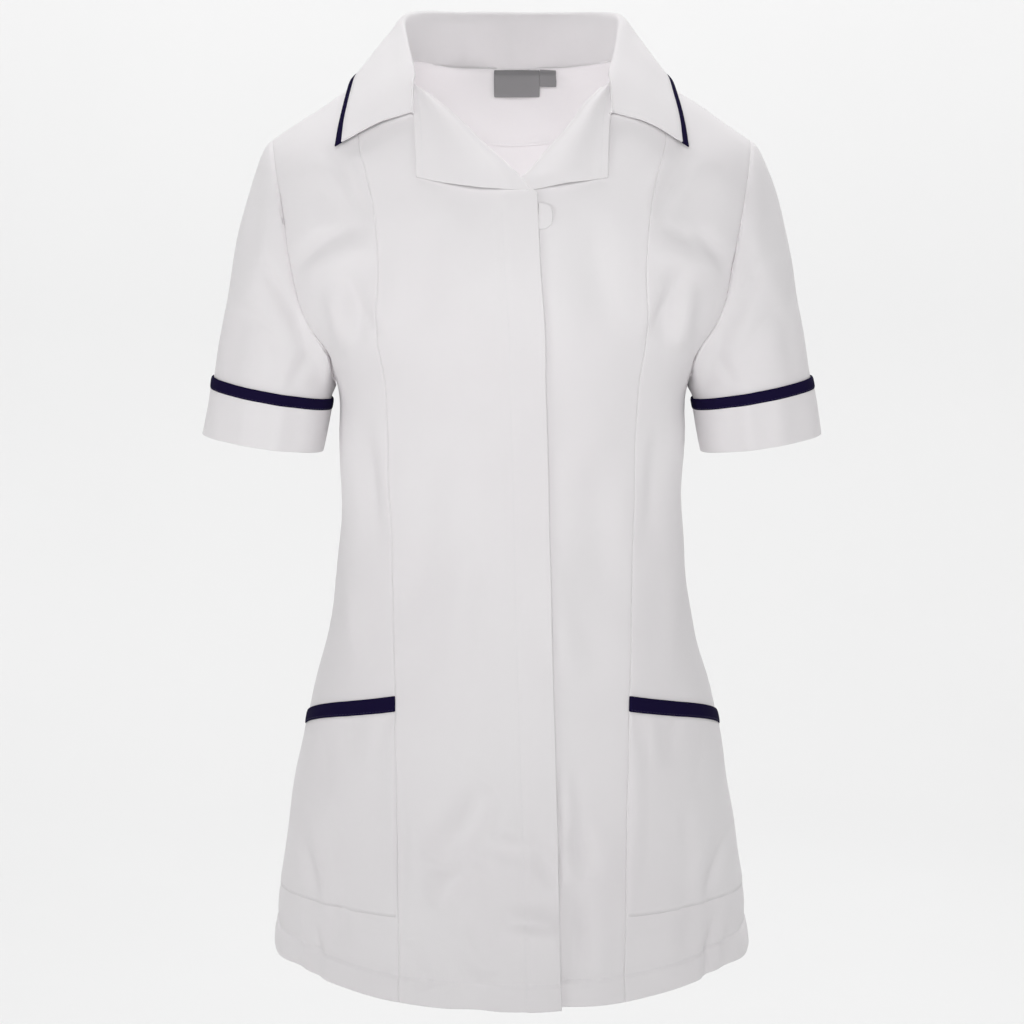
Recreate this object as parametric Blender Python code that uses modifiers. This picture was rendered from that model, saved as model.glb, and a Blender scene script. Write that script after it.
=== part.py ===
"""A medical tunic, worn and hollow, with nobody in it.

Princess-seamed front that overlaps at the centre, plain back, notched collar with a contrast edge,
revers turned out, short sleeves with turned-up cuffs, and two hip pockets set between the seams.

Metres, +Z up. The front faces -Y, and the wearer's right is on -X. The origin is the middle of the
neck, level with the line where the shoulders hold the tunic up.
"""

import math
from collections import namedtuple

import bmesh
import bpy
import numpy as np

# Cloth

WALL = 0.0014
THIN_WALL = 0.0011
SEAM_GAP = 0.0004
SHOULDER_GAP = 0.0007
LAYER_GAP = 0.0004
TRIM_RAISE = 0.0004
MERGE = 0.0001

# The body of the tunic, as rings round the wearer

Ring = namedtuple("Ring", "z half_width front back")
RINGS = [
    Ring(-0.730, 0.1932, 0.1225, 0.1240),
    Ring(-0.670, 0.1903, 0.1205, 0.1250),
    Ring(-0.630, 0.1842, 0.1190, 0.1250),
    Ring(-0.560, 0.1734, 0.1150, 0.1240),
    Ring(-0.510, 0.1640, 0.1095, 0.1165),
    Ring(-0.440, 0.1468, 0.1000, 0.0990),
    Ring(-0.390, 0.1387, 0.0930, 0.0860),
    Ring(-0.335, 0.1358, 0.0890, 0.0800),
    Ring(-0.285, 0.1372, 0.0930, 0.0850),
    Ring(-0.244, 0.1390, 0.1020, 0.0910),
    Ring(-0.190, 0.1715, 0.1085, 0.0975),
    Ring(-0.140, 0.1880, 0.1060, 0.1000),
    Ring(-0.090, 0.1985, 0.0940, 0.0950),
    Ring(-0.050, 0.2050, 0.0740, 0.0860),
    Ring(-0.010, 0.2090, 0.0540, 0.0770),
    Ring(0.030, 0.2100, 0.0440, 0.0700),
]
SQUARENESS = 2.3

SHOULDER_TIP_X = 0.1895
SHOULDER_TIP_Z = -0.053
SHOULDER_SLOPE = 0.67
CROWN = 0.055

HEM_Z = -0.721
HEM_RISE = 0.025
HEM_RISE_POWER = 2.6
UNDERARM_Z = -0.244
VENT_TOP_Z = -0.585
VENT_HALF_GAP = 0.0035
VENT_EASE = 0.03

NECK_HALF_WIDTH = 0.090
BACK_NECK_Z = 0.0040
BACK_NECK_POWER = 2.5
BACK_MIDDLE_Z = -0.12

# Soft folds that hang from the hips to the hem: where round the body, from straight ahead

Fold = namedtuple("Fold", "angle_deg top_z depth width_deg")
FOLDS = [
    Fold(67, -0.600, -0.0045, 4.5),
    Fold(75, -0.620, 0.0030, 5.0),
    Fold(-66, -0.610, -0.0040, 4.5),
    Fold(-74, -0.600, 0.0030, 5.0),
    Fold(-14, -0.540, -0.0035, 7.0),
    Fold(20, -0.580, -0.0025, 6.0),
    Fold(140, -0.520, -0.0050, 8.0),
    Fold(163, -0.560, 0.0035, 7.0),
    Fold(-150, -0.500, -0.0055, 8.0),
    Fold(-172, -0.560, 0.0030, 7.0),
]

# Seams on the front, seen from straight ahead, hem or underarm first

Place = namedtuple("Place", "x z")
PRINCESS = [
    Place(0.0880, -0.720),
    Place(0.0893, -0.560),
    Place(0.0925, -0.430),
    Place(0.0948, -0.330),
    Place(0.0978, -0.235),
    Place(0.1022, -0.150),
    Place(0.1100, -0.080),
    Place(0.1170, -0.055),
]
PRINCESS_TOP_X = 0.1235
SEAM_STEP = 0.02
FRONT_ARMHOLE = [
    Place(0.1390, UNDERARM_Z),
    Place(0.1420, -0.222),
    Place(0.1530, -0.204),
    Place(0.1640, -0.182),
    Place(0.1730, -0.140),
    Place(0.1795, -0.100),
    Place(0.1860, -0.070),
]
BACK_ARMHOLE = [
    Place(0.1390, UNDERARM_Z),
    Place(0.1450, -0.220),
    Place(0.1600, -0.195),
    Place(0.1720, -0.165),
    Place(0.1790, -0.125),
    Place(0.1840, -0.090),
    Place(0.1875, -0.068),
]

# The front overlap, and the V neck where each front turns out into its revers

OVERLAP_EDGE = [
    Place(0.0381, HEM_Z),
    Place(0.0338, -0.550),
    Place(0.0300, -0.430),
    Place(0.0262, -0.270),
    Place(0.0212, -0.150),
    Place(0.0184, -0.091),
]
UNDERLAP_EDGE = [
    Place(-0.003, HEM_Z),
    Place(-0.003, -0.400),
    Place(-0.003, -0.095),
]
OVERLAP_LIFT = WALL + 0.0008
OVERLAP_LIFT_FROM_X = -0.028
OVERLAP_LIFT_TO_X = -0.006
UNDER_HEM_LIFT = 0.003
V_POINT = Place(0.0064, -0.081)
ROLL_RIGHT = [
    V_POINT,
    Place(-0.0038, -0.0710),
    Place(-0.0168, -0.0590),
    Place(-0.0290, -0.0470),
    Place(-0.0395, -0.0365),
    Place(-0.0630, -0.0165),
    Place(-0.0800, -0.0020),
]
ROLL_LEFT = [
    V_POINT,
    Place(0.0122, -0.0754),
    Place(0.0313, -0.0545),
    Place(0.0428, -0.0417),
    Place(0.0560, -0.0245),
    Place(0.0690, -0.0115),
    Place(0.0800, -0.0020),
]
REVERS_OUTER_X = 0.0738
REVERS_TOP_Z = -0.0120
REVERS_MIDDLE_Z = -0.0450
REVERS_GAP = 0.0007
REVERS_BULGE = 0.0034
REVERS_CREST = 1.15
REVERS_BOTTOM_RIGHT = [Place(0.0120, -0.0890), Place(-0.0167, -0.0881), Place(-0.0723, -0.0789)]
REVERS_BOTTOM_LEFT = [Place(0.0148, -0.0881), Place(0.0372, -0.0847), Place(0.0723, -0.0789)]

# Pockets, with a contrast trim on the opening, which slopes down to the side seam

POCKET_BOTTOM_Z = -0.650
POCKET_TRIM_LOW_Z = (-0.4900, -0.5190)
POCKET_TRIM_TOP_Z = (-0.4790, -0.5085)

# Sleeves: the cuff is a ring that leans out from the body

CUFF_TOP_CENTRE = (0.1900, -0.003, -0.2465)
CUFF_BOTTOM_CENTRE = (0.1982, -0.004, -0.2895)
CUFF_HALF_WIDTH = 0.0472
CUFF_HALF_DEPTH = 0.0460
CUFF_TOP_TILT_DEG = 10.5
CUFF_BOTTOM_TILT_DEG = 8.5
CUFF_TRIM_SHARE = 0.19
SLEEVE_HEAD = (0.80, -0.60)
SLEEVE_UNDERARM = (0.08, -1.00)
SLEEVE_SIDE_SWELL = 0.22
SLEEVE_START_PULL = 0.42
SLEEVE_END_PULL = 0.75
SLEEVE_HEAD_GAP = 0.001

# The collar: where it is sewn, where it rolls over and where its edge lies, centre back first.
# side is 1 where the seam is on the back and -1 on the front, and lift is how far the seam
# stands off the cloth there.

Station = namedtuple(
    "Station", "neck_x neck_z side lift roll_x roll_y roll_z edge_x edge_y edge_z bow"
)
COLLAR = [
    Station(0.000, 0.0045, 1, 0, 0.000, 0.0755, 0.0470, 0.000, 0.0915, -0.0130, 0.004),
    Station(0.040, 0.0057, 1, 0, 0.041, 0.0720, 0.0470, 0.050, 0.0905, -0.0145, 0.004),
    Station(0.070, 0.0095, 1, 0, 0.0725, 0.0560, 0.0468, 0.090, 0.0765, -0.0135, 0.004),
    Station(0.086, 0.0135, 1, 0, 0.0845, 0.0300, 0.0430, 0.115, 0.0425, -0.0060, 0.004),
    Station(0.0885, 0.0125, -1, 0, 0.0835, -0.0020, 0.0270, 0.1220, 0.0000, -0.0025, 0.004),
    Station(0.0815, 0.0045, -1, 0.0025, 0.0800, -0.0250, 0.0100, 0.1260, -0.0300, -0.0190, 0.004),
    Station(0.0768, -0.0075, -1, 0.0032, 0.0768, -0.0430, -0.0040, 0.1290, -0.0500, -0.0355, 0.005),
    Station(0.0748, -0.0315, -1, 0.0032, 0.0762, -0.0630, -0.0305, 0.1308, -0.0662, -0.0530, 0.005),
]
COLLAR_LIFT_RISE = 0.3
ROLL_WIDTH = 0.0060
ROLL_STAND_SHARE = 0.8
ROLL_RISE = 0.4
FALL_TURN_SHARE = 0.4
BOW_OUT = 0.6
BOW_UP = 0.8
PIPING_RAISE = 0.0003
PIPING_WIDTH = 0.0042
PIPING_THICKNESS = 0.0020

# Labels that hang from the back neck seam, and the guard at the top of the concealed fastening

Plate = namedtuple("Plate", "name x_low x_high z_low z_high")
LABELS = [
    Plate("label_main", -0.0143, 0.0222, -0.0185, 0.0035),
    Plate("label_size", 0.0228, 0.0358, -0.0105, 0.0040),
]
LABEL_THICKNESS = 0.0010
LABEL_CLEARANCE = 0.0018
GUARD = Plate("zip_guard", 0.0204, 0.0302, -0.1170, -0.0980)
GUARD_ROUNDING = 0.55

# How finely the cloth is divided, and how finely its lines are measured

SETTLE_PASSES = 8
LINE_STEPS = 40

ROWS_HEM_TO_POCKET = 2
ROWS_POCKET = 4
ROWS_TRIM = 1
ROWS_POCKET_TO_ARM = 5
ROWS_ARM = 12
ROWS_ARM_TO_V = 7
ARM_CROWD = 1.4
COLUMNS_CENTRE = 8
COLUMNS_SIDE = 9
COLUMNS_BACK_HALF = 12
COLUMNS_BACK_NECK = 6
ROWS_FACING = 3
ROWS_SLEEVE = 6
COLUMNS_COLLAR_HALF = 17
ROWS_COLLAR = 10
ROWS_REVERS = 6
COLUMNS_REVERS = 6

# Colours: base colour, roughness

WHITE = ((0.80, 0.80, 0.82), 0.85)
NAVY = ((0.010, 0.007, 0.045), 0.80)
GREY = ((0.30, 0.30, 0.32), 0.70)


def smooth(knots, values, at):
    """A cubic curve through the values at the knots, read at other places."""
    knots = np.asarray(knots, float)
    values = np.asarray(values, float)
    at = np.asarray(at, float)
    slopes = np.gradient(values, knots)
    index = np.clip(np.searchsorted(knots, at) - 1, 0, len(knots) - 2)
    span = knots[index + 1] - knots[index]
    t = np.clip((at - knots[index]) / span, 0, 1)
    start = (2 * t**3 - 3 * t**2 + 1) * values[index]
    end = (3 * t**2 - 2 * t**3) * values[index + 1]
    leave = (t**3 - 2 * t**2 + t) * span * slopes[index]
    arrive = (t**3 - t**2) * span * slopes[index + 1]
    return start + end + leave + arrive


def ring(column, z):
    """One size of the body at height z."""
    return smooth([r.z for r in RINGS], [getattr(r, column) for r in RINGS], z)


def ease(share):
    """0 to 1 with no corner at either end."""
    t = np.clip(share, 0, 1)
    return t * t * (3 - 2 * t)


def shoulder_line(x):
    """The height of the shoulder seam at x, carried on towards the neck."""
    return SHOULDER_TIP_Z + SHOULDER_SLOPE * (SHOULDER_TIP_X - np.abs(x))


def drop(s):
    """The height lost over s metres of cloth below the shoulder line."""
    over = np.clip(s, 0, CROWN * math.pi / 2)
    return CROWN * (1 - np.cos(over / CROWN)) + (s - over)


def undrop(height):
    """The cloth that it takes to lose this height below the shoulder line."""
    share = np.clip(1 - height / CROWN, 0, 1)
    return CROWN * np.arccos(share) + np.maximum(height - CROWN, 0)


def drape(points):
    """Points of the body moved out or in by the folds, away from the middle line."""
    x, y, z = points[..., 0], points[..., 1], points[..., 2]
    angle = np.degrees(np.arctan2(x, -y))
    moved = np.zeros_like(x)
    for fold in FOLDS:
        away = (angle - fold.angle_deg + 180) % 360 - 180
        reach = ease((fold.top_z - z) / (fold.top_z - HEM_Z))
        moved += fold.depth * reach * np.exp(-((away / fold.width_deg) ** 2))
    out = points * [1, 1, 0]
    out /= np.maximum(np.linalg.norm(out, axis=-1, keepdims=True), 1e-6)
    return points + out * moved[..., None]


def on_body(place, side):
    """The point of the body's surface at a place (turn, level) of its cloth.

    turn is 0 at the centre and a quarter turn at the side seam, signed like x. level falls with
    the cloth and equals the height on the shoulder line. side is -1 for the front.
    """
    turn, level = place[..., 0], place[..., 1]
    across = np.sign(turn) * np.abs(np.sin(turn)) ** (2 / SQUARENESS)
    z = level
    for _ in range(SETTLE_PASSES):
        x = across * ring("half_width", z)
        s = shoulder_line(x) - level
        z = shoulder_line(x) - drop(s)
    deep = ring("front", z) if side < 0 else ring("back", z)
    over = np.sin(np.clip(s / CROWN, 0, math.pi / 2))
    y = side * deep * np.abs(np.cos(turn)) ** (2 / SQUARENESS) * over
    return drape(np.stack([x, y, z], -1))


def place_of(x, z):
    """The place (turn, level) of the cloth that is seen at x, z."""
    share = np.clip(np.abs(x) / ring("half_width", z), 0, 1)
    turn = np.sign(x) * np.arcsin(share ** (SQUARENESS / 2))
    level = shoulder_line(x) - undrop(shoulder_line(x) - z)
    return np.stack(np.broadcast_arrays(turn, level), -1).astype(float)


def along(places, count, side, crowd=1):
    """count places on the cloth along the smooth line through the given ones.

    They are evenly spaced, or closer towards the end where crowd is over 1.
    """
    knots = np.array([place_of(p.x, p.z) for p in places])
    steps = np.linalg.norm(np.diff([(p.x, p.z) for p in places], axis=0), axis=1)
    t = np.concatenate([[0], np.cumsum(steps)])
    fine = np.linspace(0, t[-1], LINE_STEPS * len(places))
    line = np.stack([smooth(t, knots[:, 0], fine), smooth(t, knots[:, 1], fine)], -1)
    lengths = np.linalg.norm(np.diff(on_body(line, side), axis=0), axis=1)
    travelled = np.concatenate([[0], np.cumsum(lengths)])
    wanted = travelled[-1] * (1 - np.linspace(1, 0, count) ** crowd)
    return np.stack([np.interp(wanted, travelled, line[:, k]) for k in (0, 1)], -1)


def patch(bottom, top, left, right):
    """A grid of places spanned by its four edges. Rows go up, and columns go from left to right."""
    u = np.linspace(0, 1, len(bottom))[None, :, None]
    v = np.linspace(0, 1, len(left))[:, None, None]
    sides = (1 - u) * left[:, None] + u * right[:, None]
    ends = (1 - v) * bottom[None] + v * top[None]
    low = (1 - u) * bottom[0] + u * bottom[-1]
    high = (1 - u) * top[0] + u * top[-1]
    return sides + ends - ((1 - v) * low + v * high)


def levels(hem, trim_low, trim_top):
    """Heights of the rows from the hem to the underarm."""
    return np.concatenate(
        [
            np.linspace(hem, POCKET_BOTTOM_Z, ROWS_HEM_TO_POCKET + 1)[:-1],
            np.linspace(POCKET_BOTTOM_Z, trim_low, ROWS_POCKET + 1)[:-1],
            np.linspace(trim_low, trim_top, ROWS_TRIM + 1)[:-1],
            np.linspace(trim_top, UNDERARM_Z, ROWS_POCKET_TO_ARM + 1),
        ]
    )


def hem_height(turn):
    """The hem is lowest at the centres and rises to the side seams."""
    return HEM_Z + HEM_RISE * (1 - np.abs(np.cos(turn)) ** (2 / SQUARENESS * HEM_RISE_POWER))


def hem(turns):
    """Places along the hem."""
    x = np.sign(turns) * np.abs(np.sin(turns)) ** (2 / SQUARENESS) * ring("half_width", HEM_Z)
    return np.stack([turns, place_of(x, hem_height(turns))[:, 1]], -1)


def seam_x(places, z):
    """x of a seam at heights z."""
    return smooth([p.z for p in places], [p.x for p in places], z)


def shoulder(x_from, x_to, count):
    """Places along the shoulder seam."""
    x = np.linspace(x_from, x_to, count)
    return place_of(x, shoulder_line(x))


def below_arm(places, heights):
    """Places of a seam at the given heights."""
    return np.array([place_of(seam_x(places, z), z) for z in heights])


def side_seam(heights, side):
    """Places along the side seam, which is open as a vent near the hem."""
    rows = []
    for z in heights:
        open_by = VENT_HALF_GAP * ease((VENT_TOP_Z - z) / VENT_EASE)
        deep = ring("front", z) if side < 0 else ring("back", z)
        turn = math.acos((open_by / deep) ** (SQUARENESS / 2))
        rows.append([turn, place_of(0.0, z)[1]])
    return np.array(rows)


def tip_of_shoulder():
    return Place(SHOULDER_TIP_X, SHOULDER_TIP_Z)


def armhole_places(armhole, side):
    """Places round one half of the armhole, from the underarm to the tip of the shoulder."""
    return along(armhole + [tip_of_shoulder()], ROWS_ARM + 1, side, ARM_CROWD)


def side_edge(armhole, side):
    """Places up the side seam and round the armhole to the tip of the shoulder."""
    z_hem = hem_height(math.pi / 2)
    low = side_seam(levels(z_hem, POCKET_TRIM_LOW_Z[1], POCKET_TRIM_TOP_Z[1]), side)
    return np.concatenate([low[:-1], armhole_places(armhole, side)])


def princess_edge(sign):
    """Places up the princess seam to the shoulder, the same for the panels on both its sides."""
    start = seam_x(PRINCESS, HEM_Z)
    z_hem = hem_height(place_of(start, HEM_Z)[0])
    low = below_arm(PRINCESS, levels(z_hem, POCKET_TRIM_LOW_Z[0], POCKET_TRIM_TOP_Z[0]))
    arm_x = float(seam_x(PRINCESS, UNDERARM_Z))
    over = [p for p in PRINCESS if p.z > UNDERARM_Z + SEAM_STEP]
    top = Place(PRINCESS_TOP_X, shoulder_line(PRINCESS_TOP_X))
    high = along([Place(arm_x, UNDERARM_Z)] + over + [top], ROWS_ARM + 1, -1, ARM_CROWD)
    return np.concatenate([low[:-1], high]) * [sign, 1]


def centre_edge(edge, roll, hem_z):
    """Places up the front edge to the V, and then along the roll line to the neck point."""
    heights = levels(hem_z, POCKET_TRIM_LOW_Z[0], POCKET_TRIM_TOP_Z[0])
    low = below_arm(edge, heights)
    arm = Place(float(seam_x(edge, UNDERARM_Z)), UNDERARM_Z)
    over = [p for p in edge if p.z > UNDERARM_Z + SEAM_STEP]
    middle = along([arm] + over, ROWS_ARM_TO_V, -1)
    neck_x = math.copysign(NECK_HALF_WIDTH, roll[-1].x)
    neck = Place(neck_x, shoulder_line(neck_x))
    high = along(roll + [neck], ROWS_ARM - ROWS_ARM_TO_V + 1, -1)
    return np.concatenate([low[:-1], middle, high])


def normals(grid, closed=False):
    """Unit normals of a grid of points, on the side that its rows and columns turn to."""
    if closed:
        wide = np.concatenate([grid[:, -1:], grid, grid[:, :1]], axis=1)
        across = np.gradient(wide, axis=1)[:, 1:-1]
    else:
        across = np.gradient(grid, axis=1)
    up = np.gradient(grid, axis=0)
    n = np.cross(across, up)
    return n / np.maximum(np.linalg.norm(n, axis=-1, keepdims=True), 1e-12)


def drawn_in(grid, gap, edges):
    """The grid with some of its edges drawn in by gap. edges holds left, right, top and bottom."""
    grid = grid.copy()
    for name, at, inner in (
        ("left", np.s_[:, 0], np.s_[:, 1]),
        ("right", np.s_[:, -1], np.s_[:, -2]),
        ("bottom", np.s_[0], np.s_[1]),
        ("top", np.s_[-1], np.s_[-2]),
    ):
        if name in edges:
            step = grid[inner] - grid[at]
            grid[at] += step / np.linalg.norm(step, axis=-1, keepdims=True) * gap
    return grid


def seamed(grid, sides=("left", "right")):
    """A panel drawn in from its seams, and further from the shoulder, where the cloth turns over."""
    return drawn_in(drawn_in(grid, SEAM_GAP / 2, sides), SHOULDER_GAP, ("top",))


def material(name, look):
    """A Principled material of this piece's own."""
    made = bpy.data.materials.new(name)
    made.use_nodes = True
    shader = made.node_tree.nodes["Principled BSDF"]
    colour, roughness = look
    shader.inputs["Base Color"].default_value = (*colour, 1)
    shader.inputs["Roughness"].default_value = roughness
    shader.inputs["Metallic"].default_value = 0
    made.diffuse_color = (*colour, 1)
    return made


def wall(name, grid, look, thickness=WALL, closed=False, mirror=False):
    """A piece of cloth: an open surface through the grid, given its thickness on the hidden side."""
    rows, columns = grid.shape[:2]
    shell = bmesh.new()
    verts = [[shell.verts.new(point) for point in row] for row in grid]
    for i in range(rows - 1):
        for j in range(columns if closed else columns - 1):
            k = (j + 1) % columns
            shell.faces.new((verts[i][j], verts[i][k], verts[i + 1][k], verts[i + 1][j]))
    mesh = bpy.data.meshes.new(name)
    shell.to_mesh(mesh)
    shell.free()
    mesh.shade_smooth()
    piece = bpy.data.objects.new(name, mesh)
    piece.data.materials.append(material(name, look))
    TUNIC.objects.link(piece)
    if mirror:
        halves = piece.modifiers.new("Halves", "MIRROR")
        halves.use_clip = False
        halves.merge_threshold = MERGE
    thicken = piece.modifiers.new("Wall", "SOLIDIFY")
    thicken.thickness = thickness
    thicken.offset = -1
    return piece


def mirrored(grid):
    """The grid on the other side of the body, still facing out."""
    return (grid * [-1, 1, 1])[:, ::-1]


def overlap_lift(points):
    """How far the lapping front stands off the body's surface to clear the front under it."""
    reach = OVERLAP_LIFT_TO_X - OVERLAP_LIFT_FROM_X
    return OVERLAP_LIFT * ease((points[..., :1] - OVERLAP_LIFT_FROM_X) / reach)


def front_side_grid():
    """The wearer's left side front, from the princess seam to the side seam and the armhole."""
    left = princess_edge(1)
    right = side_edge(FRONT_ARMHOLE, -1)
    bottom = hem(np.linspace(left[0, 0], right[0, 0], COLUMNS_SIDE + 1))
    top = shoulder(PRINCESS_TOP_X, SHOULDER_TIP_X, COLUMNS_SIDE + 1)
    return on_body(patch(bottom, top, left, right), -1)


def front_centre_right_grid():
    """The front that laps over the other, on the wearer's right."""
    left = princess_edge(-1)
    right = centre_edge(OVERLAP_EDGE, ROLL_RIGHT, HEM_Z)
    bottom = hem(np.linspace(left[0, 0], right[0, 0], COLUMNS_CENTRE + 1))
    bottom[0], bottom[-1] = left[0], right[0]
    top = shoulder(-PRINCESS_TOP_X, -NECK_HALF_WIDTH, COLUMNS_CENTRE + 1)
    grid = on_body(patch(bottom, top, left, right), -1)
    return grid + normals(grid) * overlap_lift(grid)


def front_centre_left_grid():
    """The front that lies under, on the wearer's left."""
    left = centre_edge(UNDERLAP_EDGE, ROLL_LEFT, HEM_Z + UNDER_HEM_LIFT)
    right = princess_edge(1)
    bottom = hem(np.linspace(left[0, 0], right[0, 0], COLUMNS_CENTRE + 1))
    bottom[:, 1] += UNDER_HEM_LIFT * np.linspace(1, 0, COLUMNS_CENTRE + 1)
    bottom[0], bottom[-1] = left[0], right[0]
    top = shoulder(NECK_HALF_WIDTH, PRINCESS_TOP_X, COLUMNS_CENTRE + 1)
    return on_body(patch(bottom, top, left, right), -1)


def back_neck(x):
    """The height of the back neck seam."""
    high = shoulder_line(NECK_HALF_WIDTH)
    return BACK_NECK_Z + (high - BACK_NECK_Z) * (np.abs(x) / NECK_HALF_WIDTH) ** BACK_NECK_POWER


def back_half_grid():
    """Half of the back, from the centre to the side seam. Columns go from +x to the centre."""
    right = side_edge(BACK_ARMHOLE, 1)
    z_low = levels(HEM_Z, POCKET_TRIM_LOW_Z[0], POCKET_TRIM_TOP_Z[0])
    low = np.array([place_of(0.0, z) for z in z_low])
    centre = [Place(0, UNDERARM_Z), Place(0, BACK_MIDDLE_Z), Place(0, BACK_NECK_Z)]
    left = np.concatenate([low[:-1], along(centre, ROWS_ARM + 1, 1)])
    bottom = hem(np.linspace(0, right[0, 0], COLUMNS_BACK_HALF + 1))
    x_neck = np.linspace(0, NECK_HALF_WIDTH, COLUMNS_BACK_NECK + 1)
    neck = place_of(x_neck, back_neck(x_neck))
    rest = shoulder(NECK_HALF_WIDTH, SHOULDER_TIP_X, COLUMNS_BACK_HALF - COLUMNS_BACK_NECK + 1)
    top = np.concatenate([neck[:-1], rest])
    grid = on_body(patch(bottom, top, left, right), 1)
    grid[:, 0, 0] = 0
    return grid[:, ::-1]


def collar_places():
    """Smooth seam, roll and edge lines of half of the collar, and its bow, centre back first."""
    seam = []
    for s in COLLAR:
        base = on_body(place_of(s.neck_x, s.neck_z), s.side)
        seam.append(base + np.array([0, -s.lift, s.lift * COLLAR_LIFT_RISE]))
    seam = np.array(seam)
    roll = np.array([(s.roll_x, s.roll_y, s.roll_z) for s in COLLAR])
    edge = np.array([(s.edge_x, s.edge_y, s.edge_z) for s in COLLAR])
    steps = np.linalg.norm(np.diff(roll, axis=0), axis=1)
    t = np.concatenate([[0], np.cumsum(steps)])
    at = np.linspace(0, t[-1], COLUMNS_COLLAR_HALF + 1)
    lines = [
        np.stack([smooth(t, line[:, k], at) for k in range(3)], -1) for line in (seam, roll, edge)
    ]
    bow = smooth(t, [s.bow for s in COLLAR], at)
    return (*lines, bow)


def spline(controls, count):
    """count points of a clamped cubic B-spline. controls is (number, ..., 3)."""
    degree = 3
    number = len(controls)
    inner = np.linspace(0, 1, number - degree + 1)
    knots = np.concatenate([[0] * degree, inner, [1] * degree])
    t = np.linspace(0, 1, count)
    t[-1] -= 1e-9
    weights = [((t >= knots[i]) & (t < knots[i + 1])).astype(float) for i in range(len(knots) - 1)]
    for d in range(1, degree + 1):
        nexts = []
        for i in range(len(knots) - 1 - d):
            total = np.zeros_like(t)
            if knots[i + d] > knots[i]:
                total += (t - knots[i]) / (knots[i + d] - knots[i]) * weights[i]
            if knots[i + d + 1] > knots[i + 1]:
                left = knots[i + d + 1] - t
                total += left / (knots[i + d + 1] - knots[i + 1]) * weights[i + 1]
            nexts.append(total)
        weights = nexts
    return np.tensordot(np.array(weights).T, controls, axes=1)


def collar_grid():
    """Half of the collar, from +x at the notch to the centre back. Rows go from seam to edge."""
    seam, roll, edge, bow = collar_places()
    out = edge - roll
    out[:, 2] = 0
    out /= np.linalg.norm(out, axis=1, keepdims=True)
    up = np.array([0, 0, 1.0])
    stand = np.linalg.norm(roll - seam, axis=1, keepdims=True)
    width = np.minimum(ROLL_WIDTH, stand * ROLL_STAND_SHARE)
    inner = roll - out * width / 2
    outer = roll + out * width / 2
    middle = (outer + edge) / 2 + (out * BOW_OUT + up * BOW_UP) * bow[:, None]
    crest = up * width * ROLL_RISE
    controls = np.array(
        [
            seam,
            (seam + inner) / 2,
            inner + crest,
            outer + crest,
            outer + (middle - outer) * FALL_TURN_SHARE,
            middle,
            edge,
        ]
    )
    return spline(controls, ROWS_COLLAR + 1)


def revers_grid(sign, roll, bottom):
    """A revers on its front, from the bottom edge up to the notch. Columns go towards +x."""
    outer = [
        Place(sign * REVERS_OUTER_X, REVERS_TOP_Z),
        Place(sign * REVERS_OUTER_X, REVERS_MIDDLE_Z),
        bottom[-1],
    ]
    inner = along([bottom[0]] + roll[:-1], ROWS_REVERS + 1, -1)
    outer = along(outer, ROWS_REVERS + 1, -1)[::-1]
    low = along(bottom, COLUMNS_REVERS + 1, -1)
    high = np.linspace(inner[-1], outer[-1], COLUMNS_REVERS + 1)
    places = patch(low, high, inner, outer)
    u = np.linspace(0, 1, COLUMNS_REVERS + 1)
    if sign < 0:
        places = places[:, ::-1]
        u = u[::-1]
    grid = on_body(places, -1)
    swell = THIN_WALL + REVERS_GAP + REVERS_BULGE * np.sin(np.pi * np.clip(u * REVERS_CREST, 0, 1)) ** 2
    lift = overlap_lift(grid) if sign < 0 else 0
    return grid + normals(grid) * (swell[None, :, None] + lift)


def cuff_ring(centre, tilt_deg, angles):
    """Points of a leaning ring of the sleeve, angles from its outer side round the front."""
    tilt = math.radians(tilt_deg)
    x = CUFF_HALF_WIDTH * np.cos(angles)
    y = -CUFF_HALF_DEPTH * np.sin(angles)
    return np.array(centre) + np.stack([x * math.cos(tilt), y, x * math.sin(tilt)], -1)


def sleeve_grid():
    """The wearer's left sleeve. Rows go down from the armhole, columns round from its top."""
    front = on_body(armhole_places(FRONT_ARMHOLE, -1), -1)[::-1]
    back = on_body(armhole_places(BACK_ARMHOLE, 1), 1)
    armhole = np.concatenate([front, back[1:-1]])
    angles = np.linspace(0, 2 * math.pi, len(armhole), endpoint=False)
    top = cuff_ring(CUFF_TOP_CENTRE, CUFF_TOP_TILT_DEG, angles)
    bottom = cuff_ring(CUFF_BOTTOM_CENTRE, CUFF_BOTTOM_TILT_DEG, angles)
    high = (1 + np.cos(angles)) / 2
    start = np.stack(
        [
            SLEEVE_UNDERARM[0] + (SLEEVE_HEAD[0] - SLEEVE_UNDERARM[0]) * high,
            -SLEEVE_SIDE_SWELL * np.sin(angles),
            SLEEVE_UNDERARM[1] + (SLEEVE_HEAD[1] - SLEEVE_UNDERARM[1]) * high,
        ],
        -1,
    )
    start /= np.linalg.norm(start, axis=1, keepdims=True)
    armhole = armhole + start * SEAM_GAP
    chord = np.linalg.norm(top - armhole, axis=1, keepdims=True)
    axis = np.subtract(CUFF_BOTTOM_CENTRE, CUFF_TOP_CENTRE)
    end = axis / np.linalg.norm(axis)
    rows = []
    for t in np.linspace(0, 1, ROWS_SLEEVE + 1):
        rows.append(
            (2 * t**3 - 3 * t**2 + 1) * armhole
            + (3 * t**2 - 2 * t**3) * top
            + (t**3 - 2 * t**2 + t) * start * chord * SLEEVE_START_PULL
            + (t**3 - t**2) * end * chord * SLEEVE_END_PULL
        )
    for t in (CUFF_TRIM_SHARE, (1 + CUFF_TRIM_SHARE) / 2, 1):
        rows.append(top + (bottom - top) * t)
    return np.array(rows)


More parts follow.
